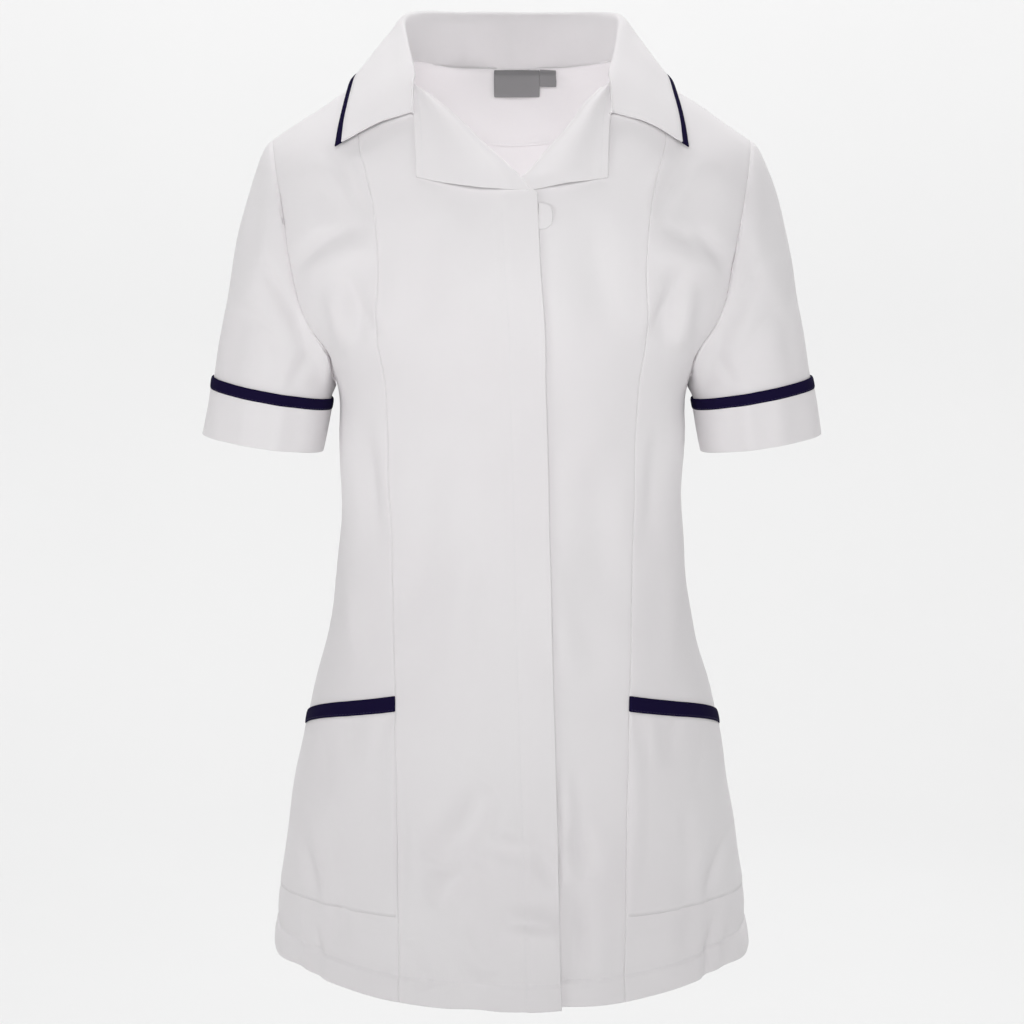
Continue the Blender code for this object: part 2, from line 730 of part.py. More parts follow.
def plate_grid(plate, side, distance, rounding=0.0, columns=4, rows=3):
    """A small piece that lies on the body's cloth, distance outside it, rounded at its +x end."""
    u = np.linspace(0, 1, columns + 1)[None, :]
    v = np.linspace(-1, 1, rows + 1)[:, None]
    width = (plate.x_high - plate.x_low) * (1 - rounding * v**4)
    x = plate.x_low + u * width
    z = (plate.z_low + plate.z_high) / 2 + v * (plate.z_high - plate.z_low) / 2 + 0 * u
    grid = on_body(place_of(x, z), side)
    return grid + normals(grid) * side * -distance


def build_guard():
    """The guard of the concealed fastening, which peeps out at the top of the overlap."""
    guard = plate_grid(GUARD, -1, THIN_WALL + LAYER_GAP, GUARD_ROUNDING)
    wall(GUARD.name, guard, WHITE, THIN_WALL)


def build_labels():
    """Two labels that hang inside the back, from the neck seam, over the facing."""
    inwards = WALL + THIN_WALL + 2 * LAYER_GAP + LABEL_CLEARANCE
    for label in LABELS:
        wall(label.name, plate_grid(label, 1, -inwards), GREY, LABEL_THICKNESS)


def build_fronts():
    """The four front panels."""
    side = seamed(front_side_grid())
    wall("front_side_left", side, WHITE)
    wall("front_side_right", mirrored(side), WHITE)
    wall("front_centre_right", seamed(front_centre_right_grid()), WHITE)
    wall("front_centre_left", seamed(front_centre_left_grid()), WHITE)


def build_back():
    """The back in one piece, the facing inside its neck and the labels that hang there."""
    half = back_half_grid()
    wall("back", seamed(half, ("left",)), WHITE, mirror=True)
    inside = half - normals(half) * (WALL + LAYER_GAP)
    inside[:, -1, 0] = 0
    facing = inside[-1 - ROWS_FACING :, -1 - COLUMNS_BACK_NECK :]
    facing = drawn_in(facing, SEAM_GAP, ("left", "top"))
    wall("back_neck_facing", facing, WHITE, THIN_WALL, mirror=True)


def build_pockets():
    """A pocket on each side front, made from that panel's points, and the trim along its top."""
    panel = front_side_grid()
    out = normals(panel)
    low = ROWS_HEM_TO_POCKET
    high = low + ROWS_POCKET
    layer = panel + out * (LAYER_GAP + WALL)
    pocket = drawn_in(layer[low : high + 1], SEAM_GAP / 2, ("left", "right", "top"))
    raised = panel + out * (LAYER_GAP + WALL + TRIM_RAISE)
    trim = drawn_in(raised[high : high + 2], SEAM_GAP / 2, ("left", "right", "bottom"))
    for name, grid in (("left", lambda g: g), ("right", mirrored)):
        wall("pocket_" + name, grid(pocket), WHITE)
        wall("pocket_trim_" + name, grid(trim), NAVY)


def build_sleeves():
    """Both sleeves, with a turned-up cuff and a contrast trim along its top."""
    sleeve = sleeve_grid()
    out = normals(sleeve, closed=True)
    layer = sleeve + out * (LAYER_GAP + WALL)
    cuff = drawn_in(layer[ROWS_SLEEVE + 1 :], SEAM_GAP / 2, ("bottom",))
    raised = sleeve + out * (LAYER_GAP + WALL + TRIM_RAISE)
    trim = drawn_in(raised[ROWS_SLEEVE : ROWS_SLEEVE + 2], SEAM_GAP / 2, ("top",))
    sleeve = drawn_in(sleeve, SLEEVE_HEAD_GAP, ("top",))
    for name, grid in (("left", lambda g: g), ("right", mirrored)):
        wall("sleeve_" + name, grid(sleeve), WHITE, closed=True)
        wall("cuff_" + name, grid(cuff), WHITE, closed=True)
        wall("cuff_trim_" + name, grid(trim), NAVY, closed=True)


def build_collar():
    """The collar, its contrast edge and the two revers."""
    half = collar_grid()
    half = half[:, ::-1]
    half[:, -1, 0] = 0
    wall("collar", half, WHITE, mirror=True)
    step = half[-1] - half[-2]
    step /= np.linalg.norm(step, axis=-1, keepdims=True)
    out = normals(half)[-1]
    near = half[-1] + step * SEAM_GAP + out * PIPING_RAISE
    far = near + step * PIPING_WIDTH
    edge = np.array([near, far])
    edge[:, -1, 0] = 0
    wall("collar_piping", edge, NAVY, PIPING_THICKNESS, mirror=True)
    right = revers_grid(-1, ROLL_RIGHT, REVERS_BOTTOM_RIGHT)
    wall("revers_right", drawn_in(right, SEAM_GAP, ("left", "right")), WHITE, THIN_WALL)
    left = revers_grid(1, ROLL_LEFT, REVERS_BOTTOM_LEFT)
    wall("revers_left", drawn_in(left, SEAM_GAP, ("left", "right")), WHITE, THIN_WALL)


def main():
    """The whole tunic."""
    build_fronts()
    build_guard()
    build_back()
    build_labels()
    build_pockets()
    build_sleeves()
    build_collar()


for old in list(bpy.data.objects):
    bpy.data.objects.remove(old, do_unlink=True)
TUNIC = bpy.data.collections.new("MedicalTunic")
bpy.context.scene.collection.children.link(TUNIC)
main()
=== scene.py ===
"""The looks of a white medical tunic with navy trims, worn and hollow, with nobody in it.

Every panel is a thin shell of cloth on the form of its solid. Creases, seams, hems and stitches
are made here, at their real size. Metres, +Z up, and the front faces -Y.
"""

import logging
import math
from dataclasses import dataclass, field
from enum import Enum
from typing import Any, Dict, Iterable, List, Optional, Sequence, Tuple

import bmesh
import bpy
import numpy as np
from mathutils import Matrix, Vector


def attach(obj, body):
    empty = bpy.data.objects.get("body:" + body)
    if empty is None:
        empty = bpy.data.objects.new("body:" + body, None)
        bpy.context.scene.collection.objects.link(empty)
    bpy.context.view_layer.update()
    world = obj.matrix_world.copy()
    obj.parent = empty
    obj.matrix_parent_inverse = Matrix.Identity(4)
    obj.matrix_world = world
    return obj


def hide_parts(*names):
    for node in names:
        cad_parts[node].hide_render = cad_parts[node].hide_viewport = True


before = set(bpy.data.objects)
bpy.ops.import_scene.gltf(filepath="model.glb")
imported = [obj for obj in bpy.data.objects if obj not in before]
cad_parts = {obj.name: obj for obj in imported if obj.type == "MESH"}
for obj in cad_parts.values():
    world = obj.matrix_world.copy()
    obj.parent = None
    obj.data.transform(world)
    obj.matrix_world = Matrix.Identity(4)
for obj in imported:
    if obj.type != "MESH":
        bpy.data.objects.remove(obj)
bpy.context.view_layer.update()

LOG = logging.getLogger("tunic")
MM = 0.001

# How far a hem's stitches lie inside its turned-up edge, and how uneven the hanging cloth is

SEWN_IN = 1.2 * MM
RIPPLE = 1.0 * MM

# How soon a crease fades at its ends, and how strong the swell on both its sides is

CREASE_FADE = 0.75
CREASE_SWELL = 0.6

# Where the crowded columns beside a seam lie, and the slack in a comparison

BESIDE_SEAM = (0, 0.6 * MM, 1.2 * MM, 2.0 * MM, 3.2 * MM)
SLACK = 1e-9

# The puckers along a seam, and what a hem adds to the cloth's thickness

SEAM_PUCKER = 0.22 * MM
SEAM_PUCKER_SPACING = 13 * MM
HEM_EXTRA = 0.8 * MM

# The dent under a row of stitches near a free edge, and how far the row lies from that edge

STITCH_DENT = 0.3 * MM
STITCH_DENT_WIDTH = 1.0 * MM
EDGE_STITCH = 5 * MM
COLLAR_END_STITCH = 4 * MM

Array = np.ndarray
Run = Tuple[Array, Array]


class Side(Enum):
    """Which half of the body a panel lies on. The value is the sign of y."""

    FRONT = -1
    BACK = 1


class Edge(Enum):
    """An edge of a panel's grid, rows going up and columns going round."""

    LEFT = "left"
    RIGHT = "right"
    BOTTOM = "bottom"
    TOP = "top"

    @property
    def upright(self) -> bool:
        """Whether it runs up the panel."""
        return self in (Edge.LEFT, Edge.RIGHT)


class Slot(Enum):
    """The record's material slots."""

    WHITE = "white_cloth"
    NAVY = "navy_trim"
    GREY = "grey_label"


@dataclass(frozen=True)
class Place:
    """A point seen from straight ahead."""

    x: float
    z: float


@dataclass(frozen=True)
class Ring:
    """The body's size at one height."""

    z: float
    half_width: float
    front: float
    back: float


@dataclass(frozen=True)
class Fold:
    """A soft fold that hangs towards the hem."""

    angle_deg: float
    top_z: float
    depth: float
    width_deg: float


@dataclass(frozen=True)
class Crease:
    """A soft ridge of the cloth from x, z to to_x, to_z, or a trough where height is negative."""

    x: float
    z: float
    to_x: float
    to_z: float
    height: float
    width: float
    bend: float = 0.0

    def lift(self, x: Array, z: Array) -> Array:
        """How far the cloth stands out at x, z.

        Args:
            x: Places across.
            z: Places up.

        Returns:
            The lift in metres, which fades at both ends and has a faint swell on both sides.
        """
        dx, dz = self.to_x - self.x, self.to_z - self.z
        length = math.hypot(dx, dz)
        share = np.clip(((x - self.x) * dx + (z - self.z) * dz) / length**2, 0, 1)
        off = ((z - self.z) * dx - (x - self.x) * dz) / length
        s = (off - self.bend * np.sin(np.pi * share)) / self.width
        along = np.sin(np.pi * share) ** CREASE_FADE
        return self.height * along * (1 - CREASE_SWELL * s * s) * np.exp(-s * s / 2)

    def mirrored(self, strength: float, shift: float) -> "Crease":
        """The crease on the other side of the body, with its own strength and a small shift."""
        return Crease(
            shift - self.x, self.z + shift, -self.to_x, self.to_z - shift,
            self.height * strength, self.width, -self.bend,
        )


def ease(share: Array) -> Array:
    """0 to 1 with no corner at either end."""
    t = np.clip(share, 0, 1)
    return t * t * (3 - 2 * t)


def blends(t: Array) -> Tuple[Array, Array, Array, Array]:
    """How much a cubic stretch takes from its start, its end, its first and its last slope."""
    return 2 * t**3 - 3 * t**2 + 1, 3 * t**2 - 2 * t**3, t**3 - 2 * t**2 + t, t**3 - t**2


def travelled(grid: Array, axis: int) -> Array:
    """Distance travelled over a grid or along a line of points.

    Args:
        grid: Points, as rows, columns and coordinates, or a line's points and coordinates.
        axis: 1 along the rows, 0 up the columns or along a line.

    Returns:
        Each point's distance from the first point of its row, column or line.
    """
    lengths = np.linalg.norm(np.diff(grid, axis=axis), axis=-1)
    start = np.zeros_like(lengths.take([0], axis=axis))
    return np.concatenate([start, np.cumsum(lengths, axis=axis)], axis=axis)


def smooth(knots: Sequence[float], values: Sequence[float], at: Array) -> Array:
    """A cubic curve through the values at the knots.

    Args:
        knots: Rising places of the values.
        values: What the curve runs through.
        at: Where it is read.

    Returns:
        The curve's values there.
    """
    knots, values, at = (np.asarray(a, float) for a in (knots, values, at))
    slopes = np.gradient(values, knots)
    index = np.clip(np.searchsorted(knots, at) - 1, 0, len(knots) - 2)
    span = knots[index + 1] - knots[index]
    t = np.clip((at - knots[index]) / span, 0, 1)
    start, end, leave, arrive = blends(t)
    through = start * values[index] + end * values[index + 1]
    return through + leave * span * slopes[index] + arrive * span * slopes[index + 1]


def unit(vectors: Array) -> Array:
    """The vectors at length 1."""
    return vectors / np.maximum(np.linalg.norm(vectors, axis=-1, keepdims=True), 1e-12)


def normals(grid: Array, closed: bool = False) -> Array:
    """Unit normals of a grid, on the side that its rows and columns turn to.

    Args:
        grid: Points, as rows, columns and coordinates.
        closed: Whether the last column joins the first.

    Returns:
        One normal for each point.
    """
    if closed:
        wide = np.concatenate([grid[:, -1:], grid, grid[:, :1]], axis=1)
        across = np.gradient(wide, axis=1)[:, 1:-1]
    else:
        across = np.gradient(grid, axis=1)
    return unit(np.cross(across, np.gradient(grid, axis=0)))


def shares(length: float, step: float) -> Array:
    """Places across a panel from 0 to 1, with a few close to both edges for the seams.

    Args:
        length: The panel's size in that direction.
        step: How far apart the others are.

    Returns:
        Rising shares of the length.
    """
    near = np.array(BESIDE_SEAM) / length
    count = round(length * (1 - 2 * near[-1]) / step) + 1
    middle = np.linspace(near[-1], 1 - near[-1], count)
    return np.concatenate([near[:-1], middle, 1 - near[:-1][::-1]])


@dataclass
class BodyForm:
    """The tunic's surface round the wearer, the same as that of its solids."""

    rings: Tuple[Ring, ...] = (
        Ring(-0.730, 0.1932, 0.1225, 0.1240),
        Ring(-0.670, 0.1903, 0.1205, 0.1250),
        Ring(-0.630, 0.1842, 0.1190, 0.1250),
        Ring(-0.560, 0.1734, 0.1150, 0.1240),
        Ring(-0.510, 0.1640, 0.1095, 0.1165),
        Ring(-0.440, 0.1468, 0.1000, 0.0990),
        Ring(-0.390, 0.1387, 0.0930, 0.0860),
        Ring(-0.335, 0.1358, 0.0890, 0.0800),
        Ring(-0.285, 0.1372, 0.0930, 0.0850),
        Ring(-0.244, 0.1390, 0.1020, 0.0910),
        Ring(-0.190, 0.1715, 0.1085, 0.0975),
        Ring(-0.140, 0.1880, 0.1060, 0.1000),
        Ring(-0.090, 0.1985, 0.0940, 0.0950),
        Ring(-0.050, 0.2050, 0.0740, 0.0860),
        Ring(-0.010, 0.2090, 0.0540, 0.0770),
        Ring(0.030, 0.2100, 0.0440, 0.0700),
    )
    folds: Tuple[Fold, ...] = (
        Fold(67, -0.600, -0.0045, 4.5),
        Fold(75, -0.620, 0.0030, 5.0),
        Fold(-66, -0.610, -0.0040, 4.5),
        Fold(-74, -0.600, 0.0030, 5.0),
        Fold(-14, -0.540, -0.0035, 7.0),
        Fold(20, -0.580, -0.0025, 6.0),
        Fold(140, -0.520, -0.0050, 8.0),
        Fold(163, -0.560, 0.0035, 7.0),
        Fold(-150, -0.500, -0.0055, 8.0),
        Fold(-172, -0.560, 0.0030, 7.0),
    )
    squareness: float = 2.3
    shoulder_tip: Place = Place(0.1895, -0.053)
    shoulder_slope: float = 0.67
    crown: float = 0.055
    hem_z: float = -0.721
    hem_rise: float = 0.025
    hem_rise_power: float = 2.6
    settle_passes: int = 8
    line_steps: int = 40

    def size(self, column: str, z: Array) -> Array:
        """One size of the body at height z."""
        return smooth([r.z for r in self.rings], [getattr(r, column) for r in self.rings], z)

    def deep(self, side: Side, z: Array) -> Array:
        """The body's depth in front or behind at height z."""
        return self.size("front" if side is Side.FRONT else "back", z)

    def shoulder_line(self, x: Array) -> Array:
        """The height of the shoulder seam at x, carried on towards the neck."""
        return self.shoulder_tip.z + self.shoulder_slope * (self.shoulder_tip.x - np.abs(x))

    def drop(self, s: Array) -> Array:
        """The height lost over s metres of cloth below the shoulder line."""
        over = np.clip(s, 0, self.crown * math.pi / 2)
        return self.crown * (1 - np.cos(over / self.crown)) + (s - over)

    def undrop(self, height: Array) -> Array:
        """The cloth that it takes to lose this height below the shoulder line."""
        share = np.clip(1 - height / self.crown, 0, 1)
        return self.crown * np.arccos(share) + np.maximum(height - self.crown, 0)

    def drape(self, points: Array) -> Array:
        """Points moved out or in by the hanging folds, away from the middle line."""
        x, y, z = points[..., 0], points[..., 1], points[..., 2]
        angle = np.degrees(np.arctan2(x, -y))
        moved = np.zeros_like(x)
        for fold in self.folds:
            away = (angle - fold.angle_deg + 180) % 360 - 180
            reach = ease((fold.top_z - z) / (fold.top_z - self.hem_z))
            moved += fold.depth * reach * np.exp(-((away / fold.width_deg) ** 2))
        return points + unit(points * [1, 1, 0]) * moved[..., None]

    def at(self, place: Array, side: Side) -> Array:
        """Points of the surface.

        Args:
            place: Turn and level. Turn is 0 at the centre and a quarter turn at the side seam.
                Level falls with the cloth and equals the height on the shoulder line.
            side: The front or the back.

        Returns:
            The points there.
        """
        turn, level = place[..., 0], place[..., 1]
        across = np.sign(turn) * np.abs(np.sin(turn)) ** (2 / self.squareness)
        z = level
        for _ in range(self.settle_passes):
            x = across * self.size("half_width", z)
            s = self.shoulder_line(x) - level
            z = self.shoulder_line(x) - self.drop(s)
        over = np.sin(np.clip(s / self.crown, 0, math.pi / 2))
        around = np.abs(np.cos(turn)) ** (2 / self.squareness)
        y = side.value * self.deep(side, z) * around * over
        return self.drape(np.stack([x, y, z], -1))

    def place_of(self, x: Array, z: Array) -> Array:
        """The place, turn and level, of the cloth that is seen at x, z."""
        share = np.clip(np.abs(x) / self.size("half_width", z), 0, 1)
        turn = np.sign(x) * np.arcsin(share ** (self.squareness / 2))
        level = self.shoulder_line(x) - self.undrop(self.shoulder_line(x) - z)
        return np.stack(np.broadcast_arrays(turn, level), -1).astype(float)

    def along(self, places: Sequence[Place], q: Array, side: Side, crowd: float = 1) -> Array:
        """Places on the cloth along the smooth line through the given ones.

        Args:
            places: What the line runs through.
            q: Where it is read, from 0 to 1.
            side: The front or the back.
            crowd: Over 1, the places lie closer towards the end.

        Returns:
            Turn and level for each q.
        """
        knots = np.array([self.place_of(p.x, p.z) for p in places])
        t = travelled(np.array([(p.x, p.z) for p in places]), 0)
        fine = np.linspace(0, t[-1], self.line_steps * len(places))
        line = np.stack([smooth(t, knots[:, 0], fine), smooth(t, knots[:, 1], fine)], -1)
        reached = travelled(self.at(line, side), 0)
        wanted = reached[-1] * (1 - (1 - np.asarray(q)) ** crowd)
        return np.stack([np.interp(wanted, reached, line[:, k]) for k in (0, 1)], -1)


def patch(bottom: Array, top: Array, left: Array, right: Array, u: Array, v: Array) -> Array:
    """A grid of places spanned by its four edges.

    Args:
        bottom: Places along the lowest row.
        top: Places along the highest row.
        left: Places up the first column.
        right: Places up the last column.
        u: Shares across, one for each column.
        v: Shares up, one for each row.

    Returns:
        Turn and level for each row and column.
    """
    u = u[None, :, None]
    v = v[:, None, None]
    sides = (1 - u) * left[:, None] + u * right[:, None]
    ends = (1 - v) * bottom[None] + v * top[None]
    low = (1 - u) * bottom[0] + u * bottom[-1]
    high = (1 - u) * top[0] + u * top[-1]
    return sides + ends - ((1 - v) * low + v * high)


@dataclass
class Cut:
    """The tunic's seams and edges, and the panels' places between them."""

    form: BodyForm = field(default_factory=BodyForm)
    parts: Tuple[int, ...] = (2, 4, 1, 5, 12)
    finer: Tuple[int, ...] = (30, 11, 5, 13, 5)
    arm_crowd: float = 1.4
    underarm_z: float = -0.244
    vent_top_z: float = -0.585
    vent_half_gap: float = 0.0035
    vent_ease: float = 0.03
    neck_half_width: float = 0.090
    back_neck_z: float = 0.0040
    back_neck_power: float = 2.5
    back_middle_z: float = -0.12
    back_neck_share: float = 0.5
    princess_top_x: float = 0.1235
    seam_step: float = 0.02
    under_hem_lift: float = 0.003
    pocket_bottom_z: float = -0.650
    trim_low_z: Tuple[float, float] = (-0.4900, -0.5190)
    trim_top_z: Tuple[float, float] = (-0.4790, -0.5085)
    princess: Tuple[Place, ...] = (
        Place(0.0880, -0.720),
        Place(0.0893, -0.560),
        Place(0.0925, -0.430),
        Place(0.0948, -0.330),
        Place(0.0978, -0.235),
        Place(0.1022, -0.150),
        Place(0.1100, -0.080),
        Place(0.1170, -0.055),
    )
    front_armhole: Tuple[Place, ...] = (
        Place(0.1390, -0.244),
        Place(0.1420, -0.222),
        Place(0.1530, -0.204),
        Place(0.1640, -0.182),
        Place(0.1730, -0.140),
        Place(0.1795, -0.100),
        Place(0.1860, -0.070),
    )
    back_armhole: Tuple[Place, ...] = (
        Place(0.1390, -0.244),
        Place(0.1450, -0.220),
        Place(0.1600, -0.195),
        Place(0.1720, -0.165),
        Place(0.1790, -0.125),
        Place(0.1840, -0.090),
        Place(0.1875, -0.068),
    )
    overlap_edge: Tuple[Place, ...] = (
        Place(0.0381, -0.721),
        Place(0.0338, -0.550),
        Place(0.0300, -0.430),
        Place(0.0262, -0.270),
        Place(0.0212, -0.150),
        Place(0.0184, -0.091),
    )
    underlap_edge: Tuple[Place, ...] = (
        Place(-0.003, -0.721),
        Place(-0.003, -0.400),
        Place(-0.003, -0.095),
    )
    roll_right: Tuple[Place, ...] = (
        Place(0.0064, -0.0810),
        Place(-0.0038, -0.0710),
        Place(-0.0168, -0.0590),
        Place(-0.0290, -0.0470),
        Place(-0.0395, -0.0365),
        Place(-0.0630, -0.0165),
        Place(-0.0800, -0.0020),
    )
    roll_left: Tuple[Place, ...] = (
        Place(0.0064, -0.0810),
        Place(0.0122, -0.0754),
        Place(0.0313, -0.0545),
        Place(0.0428, -0.0417),
        Place(0.0560, -0.0245),
        Place(0.0690, -0.0115),
        Place(0.0800, -0.0020),
    )
    lift: float = 0.0022
    lift_from_x: float = -0.028
    lift_to_x: float = -0.006
    rows_to_v: int = 6
    rows_at_v: int = 1
    side_width: float = 0.115
    side_step: float = 0.0036
    centre_width: float = 0.12
    centre_step: float = 0.0021
    back_width: float = 0.24
    back_step: float = 0.005
    back_edge_columns: int = 4
    back_neck_columns: int = 22
    back_shoulder_columns: int = 21

    def rows(self) -> Array:
        """Row numbers from the hem to the shoulder, counted as the solids' rows are."""
        starts = np.cumsum((0,) + self.parts)
        pieces = [
            np.linspace(start, start + count, count * finer + 1)[:-1]
            for start, count, finer in zip(starts, self.parts, self.finer)
        ]
        return np.concatenate(pieces + [[starts[-1]]])

    @property
    def arm_row(self) -> int:
        """The row at the underarm."""
        return sum(self.parts[:-1])

    @property
    def last_row(self) -> int:
        """The row at the shoulder."""
        return sum(self.parts)

    def heights(self, hem: float, end: int) -> Array:
        """Heights of the rows below the underarm.

        Args:
            hem: The hem's height there.
            end: The end of the pocket's trim, 0 at the princess seam and 1 at the side seam.

        Returns:
            One height for each row.
        """
        rows = self.rows()
        starts = np.cumsum((0,) + self.parts)[:-1]
        trim_low, trim_top = self.trim_low_z[end], self.trim_top_z[end]
        known = [hem, self.pocket_bottom_z, trim_low, trim_top, self.underarm_z]
        return np.interp(rows[rows < self.arm_row], starts, known)

    def arm_shares(self) -> Array:
        """The rows from the underarm up, as shares of the way to the shoulder."""
        rows = self.rows()
        return (rows[rows >= self.arm_row] - self.arm_row) / (self.last_row - self.arm_row)

    def hem_height(self, turn: Array) -> Array:
        """The hem is lowest at the centres and rises to the side seams."""
        power = 2 / self.form.squareness * self.form.hem_rise_power
        return self.form.hem_z + self.form.hem_rise * (1 - np.abs(np.cos(turn)) ** power)

    def hem(self, turns: Array) -> Array:
        """Places along the hem."""
        wide = self.form.size("half_width", self.form.hem_z)
        x = np.sign(turns) * np.abs(np.sin(turns)) ** (2 / self.form.squareness) * wide
        return np.stack([turns, self.form.place_of(x, self.hem_height(turns))[:, 1]], -1)

    def seam_x(self, places: Sequence[Place], z: Array) -> Array:
        """x of a seam at heights z."""
        return smooth([p.z for p in places], [p.x for p in places], z)

    def shoulder(self, x: Array) -> Array:
        """Places along the shoulder seam."""
        return self.form.place_of(x, self.form.shoulder_line(x))

    def below_arm(self, places: Sequence[Place], heights: Array) -> Array:
        """Places of a seam at the given heights."""
        return self.form.place_of(self.seam_x(places, heights), heights)

    def above_arm(self, places: Sequence[Place]) -> List[Place]:
        """What a seam runs through from the underarm up."""
        start = Place(float(self.seam_x(places, self.underarm_z)), self.underarm_z)
        return [start] + [p for p in places if p.z > self.underarm_z + self.seam_step]

    def side_edge(self, armhole: Sequence[Place], side: Side) -> Array:
        """Places up the side seam, which is open at the hem, and round the armhole."""
        z = self.heights(float(self.hem_height(math.pi / 2)), 1)
        open_by = self.vent_half_gap * ease((self.vent_top_z - z) / self.vent_ease)
        turn = np.arccos((open_by / self.form.deep(side, z)) ** (self.form.squareness / 2))
        below = np.stack([turn, self.form.place_of(np.zeros_like(z), z)[:, 1]], -1)
        return np.concatenate([below, self.armhole(armhole, self.arm_shares(), side)])

    def armhole(self, armhole: Sequence[Place], q: Array, side: Side) -> Array:
        """Places round half of the armhole, q from the underarm to the tip of the shoulder."""
        line = list(armhole) + [self.form.shoulder_tip]
        return self.form.along(line, q, side, self.arm_crowd)

    def princess_edge(self, sign: int) -> Array:
        """Places up the princess seam to the shoulder."""
        start = self.seam_x(self.princess, self.form.hem_z)
        z_hem = float(self.hem_height(self.form.place_of(start, self.form.hem_z)[0]))
        low = self.below_arm(self.princess, self.heights(z_hem, 0))
        top = Place(self.princess_top_x, float(self.form.shoulder_line(self.princess_top_x)))
        line = self.above_arm(self.princess) + [top]
        high = self.form.along(line, self.arm_shares(), Side.FRONT, self.arm_crowd)
        return np.concatenate([low, high]) * [sign, 1]

    def centre_edge(self, edge: Sequence[Place], roll: Sequence[Place], hem_z: float) -> Array:
        """Places up the front edge to the V, and then along the roll line to the neck."""
        neck_x = math.copysign(self.neck_half_width, roll[-1].x)
        neck = Place(neck_x, float(self.form.shoulder_line(neck_x)))
        edge_end = self.arm_row + self.rows_to_v
        roll_start = edge_end + self.rows_at_v
        rows = self.rows()
        up = rows[rows >= self.arm_row]
        share = np.clip((up - self.arm_row) / self.rows_to_v, 0, 1)
        middle = self.form.along(self.above_arm(edge), share, Side.FRONT)
        share = np.clip((up - roll_start) / (self.last_row - roll_start), 0, 1)
        high = self.form.along(list(roll) + [neck], share, Side.FRONT)
        turned = np.clip((up - edge_end) / (roll_start - edge_end), 0, 1)[:, None]
        upper = middle * (1 - turned) + high * turned
        return np.concatenate([self.below_arm(edge, self.heights(hem_z, 0)), upper])

    def overlap_lift(self, points: Array) -> Array:
        """How far the lapping front stands off, to clear the front under it."""
        reach = self.lift_to_x - self.lift_from_x
        return self.lift * ease((points[..., :1] - self.lift_from_x) / reach)

    def front_side(self) -> Array:
        """The wearer's left side front."""
        left, right = self.princess_edge(1), self.side_edge(self.front_armhole, Side.FRONT)
        u = shares(self.side_width, self.side_step)
        bottom = self.hem(left[0, 0] + (right[0, 0] - left[0, 0]) * u)
        top = self.shoulder(self.princess_top_x + (self.form.shoulder_tip.x - self.princess_top_x) * u)
        return self.form.at(patch(bottom, top, left, right, u, self.rows() / self.last_row), Side.FRONT)

    def front_centre(self, sign: int) -> Array:
        """A front from its princess seam to its edge, sign -1 for the one that laps over."""
        neck, seam = self.neck_half_width, self.princess_top_x
        if sign < 0:
            left = self.princess_edge(-1)
            right = self.centre_edge(self.overlap_edge, self.roll_right, self.form.hem_z)
            ends, raise_by = (-seam, -neck), 0.0
        else:
            left = self.centre_edge(
                self.underlap_edge, self.roll_left, self.form.hem_z + self.under_hem_lift
            )
            right = self.princess_edge(1)
            ends, raise_by = (neck, seam), self.under_hem_lift
        u = shares(self.centre_width, self.centre_step)
        bottom = self.hem(left[0, 0] + (right[0, 0] - left[0, 0]) * u)
        bottom[:, 1] += raise_by * (1 - u)
        bottom[0], bottom[-1] = left[0], right[0]
        top = self.shoulder(ends[0] + (ends[1] - ends[0]) * u)
        places = patch(bottom, top, left, right, u, self.rows() / self.last_row)
        grid = self.form.at(places, Side.FRONT)
        return grid + normals(grid) * self.overlap_lift(grid) if sign < 0 else grid

    def back(self) -> Array:
        """The whole back, columns from the wearer's left to the right."""
        right = self.side_edge(self.back_armhole, Side.BACK)
        low = self.heights(self.form.hem_z, 0)
        centre = [Place(0, z) for z in (self.underarm_z, self.back_middle_z, self.back_neck_z)]
        middle = self.form.place_of(np.zeros_like(low), low)
        left = np.concatenate([middle, self.form.along(centre, self.arm_shares(), Side.BACK)])
        u = self.back_shares()
        bottom = self.hem(right[0, 0] * u)
        on_neck = u <= self.back_neck_share + SLACK
        x_neck = self.neck_half_width * u[on_neck] / self.back_neck_share
        high = self.form.shoulder_line(self.neck_half_width)
        z_neck = self.back_neck_z + (high - self.back_neck_z) * (
            x_neck / self.neck_half_width
        ) ** self.back_neck_power
        share = (u[~on_neck] - self.back_neck_share) / (1 - self.back_neck_share)
        x_rest = self.neck_half_width + (self.form.shoulder_tip.x - self.neck_half_width) * share
        top = np.concatenate([self.form.place_of(x_neck, z_neck), self.shoulder(x_rest)])
        places = patch(bottom, top, left, right, u, self.rows() / self.last_row)
        half = self.form.at(places, Side.BACK)
        half[:, 0, 0] = 0
        return np.concatenate([half[:, ::-1], half[:, 1:] * [-1, 1, 1]], axis=1)

    def back_shares(self) -> Array:
        """Shares across half of the back, with one at the neck point."""
        outer = 1 - shares(self.back_width, self.back_step)[: self.back_edge_columns]
        inner = np.linspace(0, self.back_neck_share, self.back_neck_columns)
        rest = np.linspace(self.back_neck_share, outer[-1], self.back_shoulder_columns)[1:-1]
        return np.concatenate([inner, rest, outer[::-1]])


